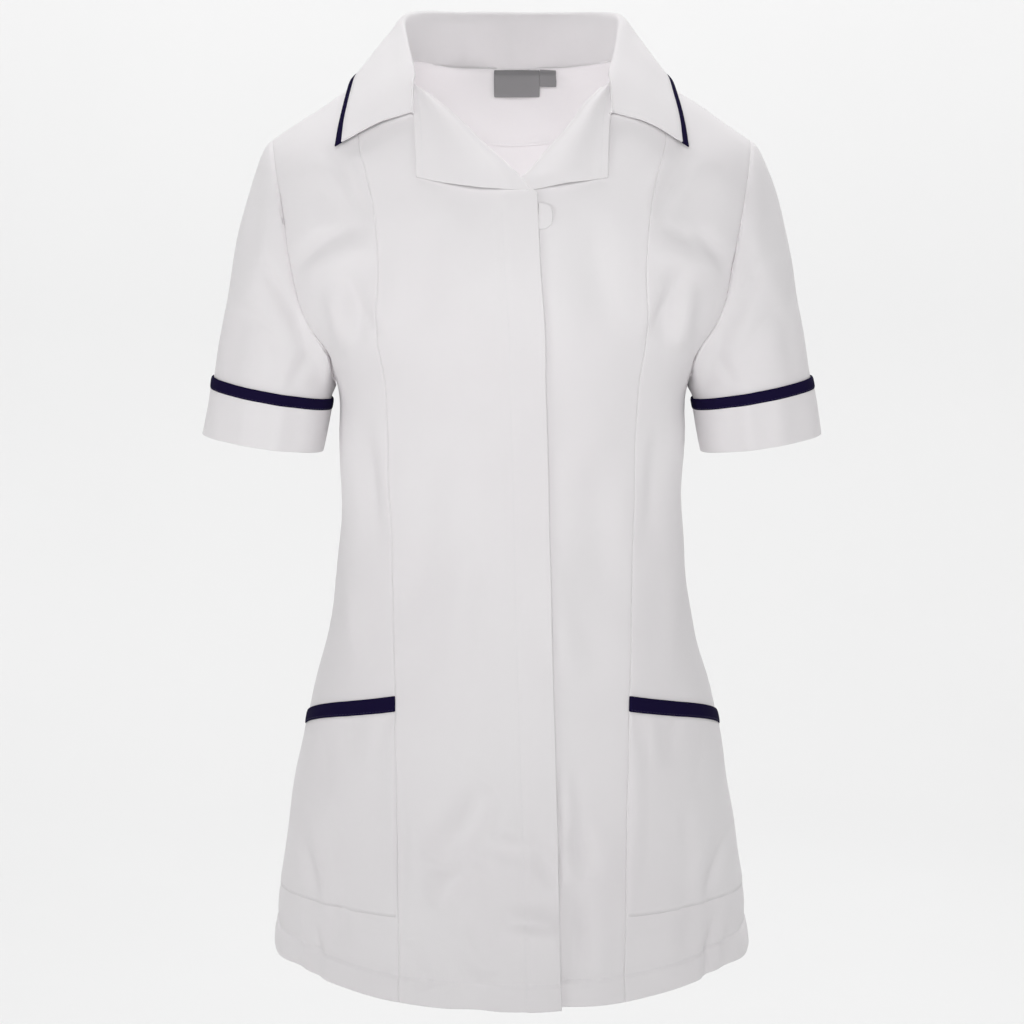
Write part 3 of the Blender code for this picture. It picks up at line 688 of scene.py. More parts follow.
class Graph:
    """The nodes of one material."""

    def __init__(self, name: str) -> None:
        """Starts a material with only its output and its Principled shader."""
        self.material = bpy.data.materials.new(name)
        self.material.use_nodes = True
        self.tree = self.material.node_tree
        self.shader = self.tree.nodes["Principled BSDF"]

    def node(self, kind: str, settings: Dict[str, Any], inputs: Dict[Any, Any]) -> bpy.types.Node:
        """Adds a node.

        Args:
            kind: The node's type.
            settings: Its own settings, set before its sockets.
            inputs: Values, sockets or signals, by the name or number of the input.

        Returns:
            The node.
        """
        made = self.tree.nodes.new(kind)
        for name, value in settings.items():
            setattr(made, name, value)
        for name, value in inputs.items():
            self.feed(made.inputs[name], value)
        return made

    def feed(self, socket: bpy.types.NodeSocket, value: Any) -> None:
        """Links a signal or socket to an input, or sets a plain value on it."""
        if isinstance(value, Signal):
            value = value.socket
        if isinstance(value, bpy.types.NodeSocket):
            self.tree.links.new(value, socket)
        else:
            socket.default_value = value

    def noise(self, vector: Any, scale: float, detail: float = 3.0) -> "Signal":
        """A noise between 0 and 1."""
        made = self.node(
            "ShaderNodeTexNoise", {}, {"Vector": vector, "Scale": scale, "Detail": detail}
        )
        return Signal(self, made.outputs["Fac"])

    def mix(self, factor: Any, first: Any, second: Any) -> bpy.types.NodeSocket:
        """A colour between two others."""
        made = self.node(
            "ShaderNodeMix", {"data_type": "RGBA"}, {0: factor, 6: first, 7: second}
        )
        return made.outputs[2]

    def bump(self, height: Any, distance: float, strength: float) -> bpy.types.NodeSocket:
        """The normal of a surface with this relief."""
        made = self.node(
            "ShaderNodeBump",
            {},
            {"Height": height, "Distance": distance, "Strength": strength},
        )
        return made.outputs["Normal"]


class Signal:
    """A number that changes over a surface, written in plain sums."""

    def __init__(self, graph: Graph, socket: bpy.types.NodeSocket) -> None:
        """Wraps a socket."""
        self.graph = graph
        self.socket = socket

    def maths(self, operation: str, first: Any, second: Any = 0.0) -> "Signal":
        """The outcome of one Math node."""
        made = self.graph.node("ShaderNodeMath", {"operation": operation}, {0: first, 1: second})
        return Signal(self.graph, made.outputs[0])

    def __add__(self, other: Any) -> "Signal":
        """self + other."""
        return self.maths("ADD", self, other)

    __radd__ = __add__

    def __mul__(self, other: Any) -> "Signal":
        """self * other."""
        return self.maths("MULTIPLY", self, other)

    __rmul__ = __mul__

    def __sub__(self, other: Any) -> "Signal":
        """self - other."""
        return self.maths("SUBTRACT", self, other)

    def __rsub__(self, other: Any) -> "Signal":
        """other - self."""
        return self.maths("SUBTRACT", other, self)

    def sine(self) -> "Signal":
        """The sine of an angle in radians."""
        return self.maths("SINE", self)

    def clipped(self) -> "Signal":
        """The number held between 0 and 1."""
        made = self.graph.node("ShaderNodeClamp", {}, {"Value": self})
        return Signal(self.graph, made.outputs[0])


@dataclass(frozen=True)
class ClothFinish:
    """A woven cloth: its colours, its threads and its sheen."""

    name: str
    colour: Tuple[float, float, float]
    shade: Tuple[float, float, float]
    roughness: float
    rib: float
    rib_slant: float
    relief: float
    relief_strength: float
    sheen: float
    thread_contrast: float
    gloss: float
    slub_size: float = 160.0
    cloud_size: float = 7.0
    cloud_detail: float = 2.0
    rib_drift: float = 1.5
    rib_height: float = 0.7
    cross_count: float = 1.9
    cross_height: float = 0.25
    slub_height: float = 0.5
    cloud_tone: float = 0.8
    slub_tone: float = 0.1
    tone_offset: float = 0.1
    roughness_spread: float = 0.08
    sheen_roughness: float = 0.5

    def make(self) -> bpy.types.Material:
        """Builds the material.

        Returns:
            A material whose threads follow the cloth's own UV map, in metres, and whose faint
            clouds of tone follow the object.
        """
        graph = Graph(self.name)
        where = graph.node("ShaderNodeTexCoord", {}, {})
        split = graph.node("ShaderNodeSeparateXYZ", {}, {0: where.outputs["UV"]})
        u, v = Signal(graph, split.outputs[0]), Signal(graph, split.outputs[1])
        turn = 2 * math.pi / self.rib
        slubs = graph.noise(where.outputs["Object"], self.slub_size)
        ribs = ((u + v * self.rib_slant) * turn + slubs * self.rib_drift).sine() * 0.5 + 0.5
        threads = (u * (turn * self.cross_count)).sine() * self.cross_height + self.cross_height
        height = (ribs * self.rib_height + threads + slubs * self.slub_height).clipped()
        cloud = graph.noise(where.outputs["Object"], self.cloud_size, self.cloud_detail)
        clouds = cloud * self.cloud_tone + slubs * self.slub_tone
        tone = (clouds + (1 - ribs) * self.thread_contrast - self.tone_offset).clipped()
        colour = graph.mix(tone, (*self.colour, 1), (*self.shade, 1))
        least_rough = self.roughness - self.roughness_spread / 2
        shader = graph.shader.inputs
        graph.feed(shader["Base Color"], colour)
        graph.feed(shader["Roughness"], slubs * self.roughness_spread + least_rough)
        graph.feed(shader["Normal"], graph.bump(height, self.relief, self.relief_strength))
        shader["Sheen Weight"].default_value = self.sheen
        shader["Sheen Roughness"].default_value = self.sheen_roughness
        shader["Specular IOR Level"].default_value = self.gloss
        return graph.material


@dataclass(frozen=True)
class ThreadFinish:
    """Sewing thread, twisted and slightly glossy."""

    name: str
    colour: Tuple[float, float, float]
    roughness: float = 0.55
    roughness_spread: float = 0.1
    twist_size: float = 900.0
    twist_shade: float = 0.88

    def make(self) -> bpy.types.Material:
        """Builds the material."""
        graph = Graph(self.name)
        where = graph.node("ShaderNodeTexCoord", {}, {})
        twist = graph.noise(where.outputs["Object"], self.twist_size)
        dark = tuple(self.twist_shade * c for c in self.colour)
        colour = graph.mix(twist, (*self.colour, 1), (*dark, 1))
        graph.feed(graph.shader.inputs["Base Color"], colour)
        graph.feed(graph.shader.inputs["Roughness"], twist * self.roughness_spread + self.roughness)
        return graph.material


@dataclass
class Finishes:
    """Every finish of the tunic."""

    white: bpy.types.Material = field(init=False)
    navy: bpy.types.Material = field(init=False)
    grey: bpy.types.Material = field(init=False)
    white_thread: bpy.types.Material = field(init=False)
    navy_thread: bpy.types.Material = field(init=False)

    def __post_init__(self) -> None:
        """Makes the materials."""
        self.white = ClothFinish(
            name="white_poly_cotton", colour=(0.848, 0.833, 0.841), shade=(0.780, 0.745, 0.764),
            roughness=0.86, rib=0.00055, rib_slant=1.0, relief=0.00006, relief_strength=0.35,
            sheen=0.15, thread_contrast=0.06, gloss=0.25,
        ).make()
        self.navy = ClothFinish(
            name="navy_binding", colour=(0.0070, 0.0045, 0.026), shade=(0.0105, 0.0070, 0.036),
            roughness=0.90, rib=0.00050, rib_slant=0.0, relief=0.00006, relief_strength=0.45,
            sheen=0.0, thread_contrast=0.35, gloss=0.04,
        ).make()
        self.grey = ClothFinish(
            name="grey_label_tape", colour=(0.238, 0.234, 0.240), shade=(0.266, 0.262, 0.268),
            roughness=0.55, rib=0.00035, rib_slant=0.0, relief=0.00004, relief_strength=0.40,
            sheen=0.0, thread_contrast=0.30, gloss=0.25,
        ).make()
        self.white_thread = ThreadFinish("white_thread", (0.83, 0.83, 0.84)).make()
        self.navy_thread = ThreadFinish("navy_thread", (0.012, 0.008, 0.045)).make()


def put(mesh: bpy.types.Mesh, name: str, material: bpy.types.Material) -> bpy.types.Object:
    """Links a finished mesh as a piece that rides on the tunic.

    Args:
        mesh: The mesh, in place.
        name: The piece's name.
        material: Its finish.

    Returns:
        The piece.
    """
    piece = bpy.data.objects.new(name, mesh)
    bpy.context.scene.collection.objects.link(piece)
    mesh.materials.clear()
    mesh.materials.append(material)
    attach(piece, "root")
    return piece


@dataclass
class Cloth:
    """A piece of cloth, as a grid of points on the side that shows."""

    name: str
    grid: Array
    closed: bool = False
    thickness: float = 0.9 * MM
    out: Array = field(init=False)
    lift: Array = field(init=False)
    wall: Array = field(init=False)
    rounded: Dict[Edge, float] = field(default_factory=dict)
    hem_draw: float = 1.3 * MM
    hem_draw_width: float = 8.0 * MM
    hem_step: float = 0.8 * MM
    hem_dent: float = 0.6 * MM
    hem_dent_width: float = 1.4 * MM
    hem_stand: float = 0.8 * MM
    hem_stand_width: float = 4 * MM
    pucker_drift: float = 1.3
    pucker_drift_span: float = 1.7
    pucker_mean: float = 0.6
    pucker_spread: float = 0.4
    pucker_spread_span: float = 3.1
    pucker_reach: float = 0.6
    crease_onset: float = 2.5
    crown_power: int = 4

    def __post_init__(self) -> None:
        """Works out the side that shows, and starts flat."""
        self.out = normals(self.grid, self.closed)
        self.lift = np.zeros(self.grid.shape[:2])
        self.wall = np.full(self.grid.shape[:2], self.thickness)

    def round_all(self) -> None:
        """Rounds every edge."""
        self.rounded = {edge: 1.0 for edge in Edge}

    def away(self, edge: Edge) -> Array:
        """Every point's distance from an edge, along the cloth."""
        reached = travelled(self.grid, 1 if edge.upright else 0)
        if edge is Edge.RIGHT:
            return reached[:, -1:] - reached
        if edge is Edge.TOP:
            return reached[-1:] - reached
        return reached

    def beside(self, edge: Edge) -> Array:
        """Every point's distance travelled beside an edge."""
        return travelled(self.grid, 0 if edge.upright else 1)

    def press(self, edge: Edge, distance: float, depth: float, width: float) -> None:
        """Presses a line in beside an edge, as a row of sewing does."""
        self.lift -= depth * np.exp(-(((self.away(edge) - distance) / width) ** 2))

    def roll_in(self, edges: Iterable[Edge], depth: float = 0.5 * MM, width: float = 0.8 * MM) -> None:
        """Turns edges in to their seam.

        Args:
            edges: The sewn edges.
            depth: How far the cloth dips.
            width: How wide the dip is.
        """
        for edge in edges:
            self.press(edge, 0.0, depth, width)

    def pucker(
        self, edge: Edge, height: float, spacing: float, phase: float, distance: float = 0.0
    ) -> None:
        """Gathers the cloth a little along a row of sewing.

        Args:
            edge: The edge that the sewing follows.
            height: The highest pucker.
            spacing: How far apart they are, about.
            phase: Where they start.
            distance: How far the sewing lies from the edge.
        """
        s = self.beside(edge)
        drift = self.pucker_drift * np.sin(s / (spacing * self.pucker_drift_span) + phase)
        turn = 2 * math.pi * s / spacing + phase + drift
        swing = np.sin(s / (spacing * self.pucker_spread_span) + 2 * phase)
        uneven = self.pucker_mean + self.pucker_spread * swing
        away = np.abs(self.away(edge) - distance)
        near = np.exp(-away / (spacing * self.pucker_reach))
        self.lift += height * np.sin(turn) * uneven * near * ease(away / MM)

    def crown(self, height: float) -> None:
        """Fills a band out between its two long edges."""
        reached = self.away(Edge.BOTTOM)
        share = reached / np.maximum(reached[-1:], SLACK)
        self.lift += height * (1 - (2 * share - 1) ** self.crown_power)

    def crease(self, creases: Iterable[Crease], side: Side) -> None:
        """Adds creases where the cloth faces that side."""
        facing = ease(self.out[..., 1] * side.value * self.crease_onset)
        for crease in creases:
            self.lift += crease.lift(self.grid[..., 0], self.grid[..., 2]) * facing

    def ripple(self, height: float) -> None:
        """Adds the faint unevenness of cloth that hangs, the same on layers that touch."""
        x, y, z = (self.grid[..., k] for k in range(3))
        # Four waves, each in radians for a metre along the axes, and where it starts
        wave = np.sin(61 * x + 23 * z + 9 * y) * np.sin(37 * z - 19 * x + 1.1)
        wave = wave + 0.6 * np.sin(97 * x - 41 * z + 2.3) * np.sin(53 * z + 29 * y)
        self.lift += height * wave

    def turn_up(self, edge: Edge, depth: float, extra: float) -> None:
        """Doubles the cloth at a hem, with a faint dent where it is sewn down.

        Args:
            edge: The hemmed edge.
            depth: How far the hem reaches.
            extra: The thickness that it adds.
        """
        away = self.away(edge)
        self.wall += extra * ease((depth + self.hem_step / 2 - away) / self.hem_step)
        self.press(edge, depth - SEWN_IN, self.hem_dent, self.hem_dent_width)
        if edge is Edge.BOTTOM:
            self.press(edge, depth, self.hem_draw, self.hem_draw_width)
        self.lift += self.hem_stand * ease((depth - away) / self.hem_stand_width)

    def points(self) -> Array:
        """The points on the side that shows."""
        return self.grid + self.out * self.lift[..., None]

    def run(self, edge: Edge, distance: float) -> Run:
        """A line on the cloth beside an edge.

        Args:
            edge: The edge that it follows.
            distance: How far from that edge.

        Returns:
            Its points and the cloth's normals there.
        """
        shown, out, away = self.points(), self.out, self.away(edge)
        if not edge.upright:
            shown, out, away = (a.swapaxes(0, 1) for a in (shown, out, away))
        rising = away[:, -1] > away[:, 0]
        found = []
        for row in range(len(away)):
            order = slice(None) if rising[row] else slice(None, None, -1)
            found.append([
                np.interp(distance, away[row][order], a[row, order, k])
                for a in (shown, out)
                for k in range(3)
            ])
        found = np.array(found)
        return found[:, :3], unit(found[:, 3:])

    def ring(self, grid: Array) -> Array:
        """A grid with its first column again at its end, where the cloth is closed."""
        return np.concatenate([grid, grid[:, :1]], axis=1) if self.closed else grid

    def flat(self) -> Tuple[float, float, float]:
        """The cut's widest width, its longest length and its area, in metres."""
        ring = self.ring(self.grid)
        width = np.linalg.norm(np.diff(ring, axis=1), axis=-1).sum(axis=1).max()
        length = np.linalg.norm(np.diff(ring, axis=0), axis=-1).sum(axis=0).max()
        a, b = ring[1:, 1:] - ring[:-1, :-1], ring[1:, :-1] - ring[:-1, 1:]
        area = np.linalg.norm(np.cross(a, b), axis=-1).sum() / 2
        return float(width), float(length), float(area)

    def mesh(self) -> bpy.types.Mesh:
        """The closed shell of the cloth, with rounded free edges and its UV map in metres.

        Returns:
            The mesh.
        """
        rows, columns = self.grid.shape[:2]
        shown = self.points()
        hidden = shown - self.out * self.wall[..., None]
        ids = self.ring(np.arange(rows * columns).reshape(rows, columns))
        u = travelled(self.ring(self.grid), 1)
        v = travelled(self.ring(self.grid), 0)
        uv = np.stack([u - u[:, -1:] / 2, v], -1)
        points = [shown.reshape(-1, 3), hidden.reshape(-1, 3)]
        faces, corners = [], []
        self.add_quads(faces, corners, ids, uv, False)
        self.add_quads(faces, corners, ids + rows * columns, uv, True)
        for loop in self.rims(rows, ids.shape[1]):
            self.add_rim(points, faces, corners, loop, ids, uv, shown, hidden)
        mesh = bpy.data.meshes.new(self.name)
        mesh.from_pydata(np.concatenate(points).tolist(), [], np.concatenate(faces).tolist())
        layer = mesh.uv_layers.new(name="cloth")
        layer.data.foreach_set("uv", np.concatenate(corners).astype(np.float32).ravel())
        mesh.validate()
        mesh.shade_smooth()
        return mesh

    @staticmethod
    def add_quads(faces: List[Array], corners: List[Array], ids: Array, uv: Array, turned: bool) -> None:
        """Adds the faces of a grid of point numbers, turned for the other side."""
        picks = [np.s_[:-1, :-1], np.s_[:-1, 1:], np.s_[1:, 1:], np.s_[1:, :-1]]
        if turned:
            picks = [picks[0], picks[3], picks[2], picks[1]]
        faces.append(np.stack([ids[p].ravel() for p in picks], -1))
        corners.append(np.stack([uv[p].reshape(-1, 2) for p in picks], 1).reshape(-1, 2))

    def rims(self, rows: int, columns: int) -> List[List[Tuple[int, int, int, int, float]]]:
        """The rims of the grid, each as row, column, the inner neighbour's both, and roundness."""
        def turn(edge: Edge) -> float:
            """How round an edge is."""
            return self.rounded.get(edge, 0.0)

        low = [(0, c, 1, c, turn(Edge.BOTTOM)) for c in range(columns)]
        high = [(rows - 1, c, rows - 2, c, turn(Edge.TOP)) for c in range(columns - 1, -1, -1)]
        if self.closed:
            return [low, high]
        right = [(r, columns - 1, r, columns - 2, turn(Edge.RIGHT)) for r in range(1, rows - 1)]
        left = [(r, 0, r, 1, turn(Edge.LEFT)) for r in range(rows - 2, 0, -1)]
        return [low + right + high + left + low[:1]]

    def add_rim(
        self, points: List[Array], faces: List[Array], corners: List[Array],
        loop: List[Tuple[int, int, int, int, float]], ids: Array, uv: Array,
        shown: Array, hidden: Array,
    ) -> None:
        """Closes the shell along one rim, with a half round where the edge is free.

        Args:
            points: The mesh's points so far, which this adds to.
            faces: Its faces so far.
            corners: The faces' UV places so far.
            loop: The rim, from rims.
            ids: The grid's point numbers.
            uv: The grid's UV places.
            shown: Points on the side that shows.
            hidden: Points on the other side.
        """
        columns = self.grid.shape[1]
        r = np.array([s[0] for s in loop])
        c = np.array([s[1] for s in loop])
        inner_r = np.array([s[2] for s in loop])
        inner_c = np.array([s[3] for s in loop]) % columns
        roundness = np.array([s[4] for s in loop])[:, None]
        a, b = shown[r, c % columns], hidden[r, c % columns]
        away = unit(a - shown[inner_r, inner_c])
        middle, half = (a + b) / 2, (a - b) / 2
        reach = np.linalg.norm(half, axis=1, keepdims=True) * roundness
        count = sum(len(p) for p in points)
        rings = [ids[r, c]]
        for angle in (math.pi / 4, math.pi / 2, 3 * math.pi / 4):
            points.append((middle + half * math.cos(angle) + away * reach * math.sin(angle))[:-1])
            line = np.arange(len(loop) - 1) + count
            rings.append(np.concatenate([line, line[:1]]))
            count += len(loop) - 1
        rings.append(ids[r, c] + self.grid.shape[0] * columns)
        places = np.repeat(uv[r, c][None], len(rings), axis=0)
        self.add_quads(faces, corners, np.array(rings), places, True)

    def put(self, material: bpy.types.Material, slot: Slot, node: str) -> bpy.types.Object:
        """Links the cloth in the place of its solid."""
        piece = put(self.mesh(), self.name, material)
        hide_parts(node)
        return piece

    def declare(
        self, piece: bpy.types.Object, with_pieces: Sequence[bpy.types.Object] = (),
        rests_on: Sequence[str] = (),
    ) -> None:
        """Logs the width and length of the piece's flat cut.

        Args:
            piece: The cloth's object.
            with_pieces: What is sewn on it. Not used.
            rests_on: What it lies on or hangs from. Not used.
        """
        width, length, area = self.flat()
        area = min(area, width * length)
        LOG.info("%s: cut %.0f by %.0f mm", piece.name, width / MM, length / MM)


@dataclass
class Stitching:
    """Rows of stitches, made by one tree of geometry nodes."""

    length: float = 2.1 * MM
    pitch: float = 2.7 * MM
    width: float = 0.42 * MM
    height: float = 0.26 * MM
    bead_sides: int = 8
    bead_rings: int = 5
    bead_radius: float = 0.5
    least: float = 0.85
    most: float = 1.1
    seed: int = 11
    tree: Optional[bpy.types.NodeTree] = None

    def socket(self, node: bpy.types.Node, name: str, outgoing: bool = False) -> bpy.types.NodeSocket:
        """The enabled socket of that name."""
        sockets = node.outputs if outgoing else node.inputs
        return next(s for s in sockets if s.name == name and s.enabled)

    def build_tree(self) -> bpy.types.NodeTree:
        """Makes the tree.

        Returns:
            A tree that turns lines with a facing attribute into rows of stitches.
        """
        tree = bpy.data.node_groups.new("RowsOfStitches", "GeometryNodeTree")
        face = tree.interface.new_socket
        face(name="Lines", in_out="INPUT", socket_type="NodeSocketGeometry")
        for name in ("Pitch", "Length", "Width", "Height"):
            face(name=name, in_out="INPUT", socket_type="NodeSocketFloat")
        face(name="Seed", in_out="INPUT", socket_type="NodeSocketInt")
        face(name="Thread", in_out="INPUT", socket_type="NodeSocketMaterial")
        face(name="Stitches", in_out="OUTPUT", socket_type="NodeSocketGeometry")

        def add(kind: str, **settings: Any) -> bpy.types.Node:
            """Adds a node with its settings."""
            node = tree.nodes.new(kind)
            for name, value in settings.items():
                setattr(node, name, value)
            return node

        def link(source: bpy.types.Node, out: str, target: bpy.types.Node, into: str) -> None:
            """Links two sockets by name."""
            tree.links.new(self.socket(source, out, True), self.socket(target, into))

        given = add("NodeGroupInput")
        curve = add("GeometryNodeMeshToCurve")
        even = add("GeometryNodeResampleCurve", mode="LENGTH")
        bead = add("GeometryNodeMeshUVSphere")
        self.socket(bead, "Segments").default_value = self.bead_sides
        self.socket(bead, "Rings").default_value = self.bead_rings
        self.socket(bead, "Radius").default_value = self.bead_radius
        size = add("ShaderNodeCombineXYZ")
        tangent = add("GeometryNodeInputTangent")
        facing = add("GeometryNodeInputNamedAttribute", data_type="FLOAT_VECTOR")
        self.socket(facing, "Name").default_value = "facing"
        turned = add("FunctionNodeAxesToRotation", primary_axis="X", secondary_axis="Z")
        vary = add("FunctionNodeRandomValue", data_type="FLOAT")
        self.socket(vary, "Min").default_value = self.least
        self.socket(vary, "Max").default_value = self.most
        scaled = add("ShaderNodeVectorMath", operation="SCALE")
        place = add("GeometryNodeInstanceOnPoints")
        real = add("GeometryNodeRealizeInstances")
        smooth_faces = add("GeometryNodeSetShadeSmooth")
        dressed = add("GeometryNodeSetMaterial")
        result = add("NodeGroupOutput")
        link(given, "Lines", curve, "Mesh")
        link(curve, "Curve", even, "Curve")
        link(given, "Pitch", even, "Length")
        link(given, "Length", size, "X")
        link(given, "Width", size, "Y")
        link(given, "Height", size, "Z")
        link(given, "Seed", vary, "Seed")
        link(size, "Vector", scaled, "Vector")
        link(vary, "Value", scaled, "Scale")
        link(tangent, "Tangent", turned, "Primary Axis")
        link(facing, "Attribute", turned, "Secondary Axis")
        link(even, "Curve", place, "Points")
        link(bead, "Mesh", place, "Instance")
        link(turned, "Rotation", place, "Rotation")
        link(scaled, "Vector", place, "Scale")
        link(place, "Instances", real, "Geometry")
        link(real, "Geometry", smooth_faces, "Geometry")
        link(smooth_faces, "Geometry", dressed, "Geometry")
        link(given, "Thread", dressed, "Material")
        link(dressed, "Geometry", result, "Stitches")
        return tree

    def sew(
        self, name: str, runs: Sequence[Run], thread: bpy.types.Material, slot: Slot
    ) -> bpy.types.Object:
        """Sews lines of stitches.

        Args:
            name: The piece's name.
            runs: Lines, each as points and normals.
            thread: The thread's material.
            slot: The record's slot. Not used.

        Returns:
            The stitches, as one plain mesh.
        """
        self.tree = self.tree or self.build_tree()
        points, facing, edges = [], [], []
        for line, out in runs:
            start = sum(len(p) for p in points)
            edges += [(start + i, start + i + 1) for i in range(len(line) - 1)]
            points.append(line)
            facing.append(out)
        lines = bpy.data.meshes.new(name + "_lines")
        lines.from_pydata(np.concatenate(points).tolist(), edges, [])
        attribute = lines.attributes.new("facing", "FLOAT_VECTOR", "POINT")
        attribute.data.foreach_set("vector", np.concatenate(facing).astype(np.float32).ravel())
        holder = bpy.data.objects.new(name + "_lines", lines)
        bpy.context.scene.collection.objects.link(holder)
        modifier = holder.modifiers.new("Stitches", "NODES")
        modifier.node_group = self.tree
        given = {
            "Pitch": self.pitch, "Length": self.length, "Width": self.width,
            "Height": self.height, "Seed": self.seed, "Thread": thread,
        }
        for item in self.tree.interface.items_tree:
            if item.in_out == "INPUT" and item.name in given:
                modifier[item.identifier] = given[item.name]
        graph = bpy.context.evaluated_depsgraph_get()
        mesh = bpy.data.meshes.new_from_object(holder.evaluated_get(graph))
        bpy.data.objects.remove(holder, do_unlink=True)
        return put(mesh, name, thread)


# The main creases, as seen from straight ahead, on the wearer's right where both sides have them

YOKE_CREASES = (
    Crease(-0.158, -0.078, -0.122, -0.122, -0.0048, 0.0150, 0.004),
    Crease(-0.143, -0.056, -0.109, -0.113, -0.0042, 0.0075, 0.003),
    Crease(-0.102, -0.117, -0.141, -0.125, -0.0020, 0.0055, -0.002),
    Crease(-0.135, -0.122, -0.169, -0.148, -0.0026, 0.0060, -0.002),
    Crease(-0.106, -0.130, -0.160, -0.156, 0.0040, 0.0085, -0.003),
    Crease(-0.127, -0.148, -0.116, -0.205, -0.0045, 0.0080, 0.002),
    Crease(-0.115, -0.176, -0.100, -0.204, -0.0022, 0.0045),
    Crease(-0.138, -0.160, -0.131, -0.214, 0.0034, 0.0075, 0.001),
    Crease(-0.062, -0.105, -0.078, -0.200, -0.0026, 0.0120, 0.003),
    Crease(-0.030, -0.110, -0.045, -0.230, 0.0024, 0.0150, 0.003),
)
WAIST_CREASES = (
    Crease(-0.118, -0.262, -0.106, -0.372, -0.0042, 0.0090, 0.003),
    Crease(-0.104, -0.275, -0.100, -0.352, 0.0020, 0.0055, 0.001),
    Crease(-0.060, -0.290, -0.080, -0.420, -0.0030, 0.0140, 0.004),
    Crease(-0.030, -0.350, -0.050, -0.470, 0.0026, 0.0130, 0.004),
    Crease(-0.126, -0.380, -0.120, -0.470, 0.0026, 0.0080, -0.002),
)
SKIRT_CREASES = (
    Crease(-0.018, -0.543, -0.060, -0.606, -0.0088, 0.0140, 0.004),
    Crease(-0.024, -0.604, -0.062, -0.638, -0.0058, 0.0120, -0.002),
    Crease(-0.078, -0.560, -0.074, -0.655, 0.0030, 0.0095, 0.002),
    Crease(-0.022, -0.588, 0.014, -0.596, -0.0046, 0.0092, 0.001),
    Crease(0.014, -0.584, 0.038, -0.622, -0.0044, 0.0092, 0.001),
    Crease(-0.008, -0.646, 0.036, -0.654, 0.0056, 0.0085, 0.001),
    Crease(-0.044, -0.654, -0.016, -0.694, 0.0040, 0.0105, -0.002),
    Crease(-0.082, -0.668, -0.066, -0.706, -0.0036, 0.0100),
    Crease(0.041, -0.530, 0.044, -0.606, 0.0026, 0.0055, 0.001),
    Crease(0.046, -0.575, 0.059, -0.622, -0.0046, 0.0095, 0.002),
    Crease(0.050, -0.618, 0.056, -0.704, -0.0046, 0.0095, -0.002),
)
POCKET_CREASES = (
    Crease(-0.095, -0.496, -0.094, -0.652, 0.0016, 0.0042),
    Crease(-0.158, -0.580, -0.143, -0.648, 0.0036, 0.0062, 0.002),
    Crease(-0.170, -0.596, -0.153, -0.646, -0.0030, 0.0050, 0.001),
    Crease(-0.140, -0.628, -0.136, -0.690, -0.0030, 0.0060, 0.002),
    Crease(-0.142, -0.565, -0.134, -0.600, -0.0018, 0.0042),
    Crease(-0.167, -0.645, -0.160, -0.712, 0.0030, 0.0055),
    Crease(-0.156, -0.664, -0.152, -0.714, -0.0034, 0.0038),
    Crease(-0.126, -0.655, -0.092, -0.660, -0.0014, 0.0060),
    Crease(-0.131, -0.482, -0.124, -0.530, -0.0018, 0.0045, 0.001),
    Crease(-0.094, -0.487, -0.104, -0.530, -0.0016, 0.0045),
    Crease(-0.112, -0.486, -0.113, -0.540, 0.0014, 0.0050, 0.001),
    Crease(-0.150, -0.508, -0.146, -0.560, -0.0015, 0.0050, 0.001),
)
PAIRED_CREASES = YOKE_CREASES + WAIST_CREASES + POCKET_CREASES
BACK_CREASES = (
    Crease(0.120, -0.110, 0.070, -0.190, -0.0026, 0.0110, 0.006),
    Crease(-0.128, -0.105, -0.062, -0.205, -0.0024, 0.0120, -0.006),
    Crease(0.150, -0.190, 0.110, -0.232, -0.0020, 0.0070, 0.003),
    Crease(-0.148, -0.185, -0.112, -0.236, -0.0022, 0.0070, -0.003),
    Crease(0.105, -0.300, 0.020, -0.345, -0.0028, 0.0100, 0.005),
    Crease(-0.112, -0.315, -0.030, -0.352, -0.0026, 0.0090, -0.006),
    Crease(0.060, -0.372, -0.045, -0.392, 0.0022, 0.0110, 0.003),
    Crease(0.088, -0.345, 0.035, -0.372, -0.0018, 0.0070, 0.003),
    Crease(0.045, -0.520, 0.058, -0.690, -0.0032, 0.0120, 0.004),
    Crease(-0.060, -0.500, -0.082, -0.700, -0.0034, 0.0130, -0.004),
    Crease(-0.010, -0.560, -0.004, -0.710, 0.0024, 0.0120, 0.002),
    Crease(0.120, -0.450, 0.135, -0.590, -0.0024, 0.0090, 0.002),
    Crease(-0.125, -0.560, -0.140, -0.690, -0.0026, 0.0080, 0.002),
    Crease(0.008, -0.040, -0.006, -0.135, -0.0012, 0.0140, 0.002),
)
SLEEVE_CREASES = (
    Crease(0.168, -0.200, 0.205, -0.130, -0.0030, 0.0065, 0.004),
    Crease(0.176, -0.222, 0.226, -0.168, -0.0025, 0.0075, 0.004),
    Crease(0.190, -0.120, 0.222, -0.195, 0.0022, 0.0085, -0.003),
    Crease(0.160, -0.215, 0.174, -0.243, -0.0020, 0.0045),
    Crease(0.212, -0.175, 0.222, -0.240, -0.0018, 0.0070),
    Crease(0.196, -0.075, 0.204, -0.118, -0.0014, 0.0060, 0.001),
)
CUFF_CREASES = (
    Crease(0.168, -0.240, 0.176, -0.310, -0.0014, 0.0070),
    Crease(0.182, -0.240, 0.186, -0.310, 0.0010, 0.0060),
    Crease(0.196, -0.240, 0.202, -0.310, -0.0012, 0.0065),
    Crease(0.220, -0.240, 0.226, -0.310, -0.0012, 0.0070),
)


def both_sides(creases: Sequence[Crease]) -> List[Crease]:
    """The creases, and their uneven likeness on the other side of the body."""
    strengths = (0.8, 1.1, 0.7, 0.95)
    shifts = (0.004, -0.003, 0.002)
    pairs = [c.mirrored(strengths[i % 4], shifts[i % 3]) for i, c in enumerate(creases)]
    return list(creases) + pairs


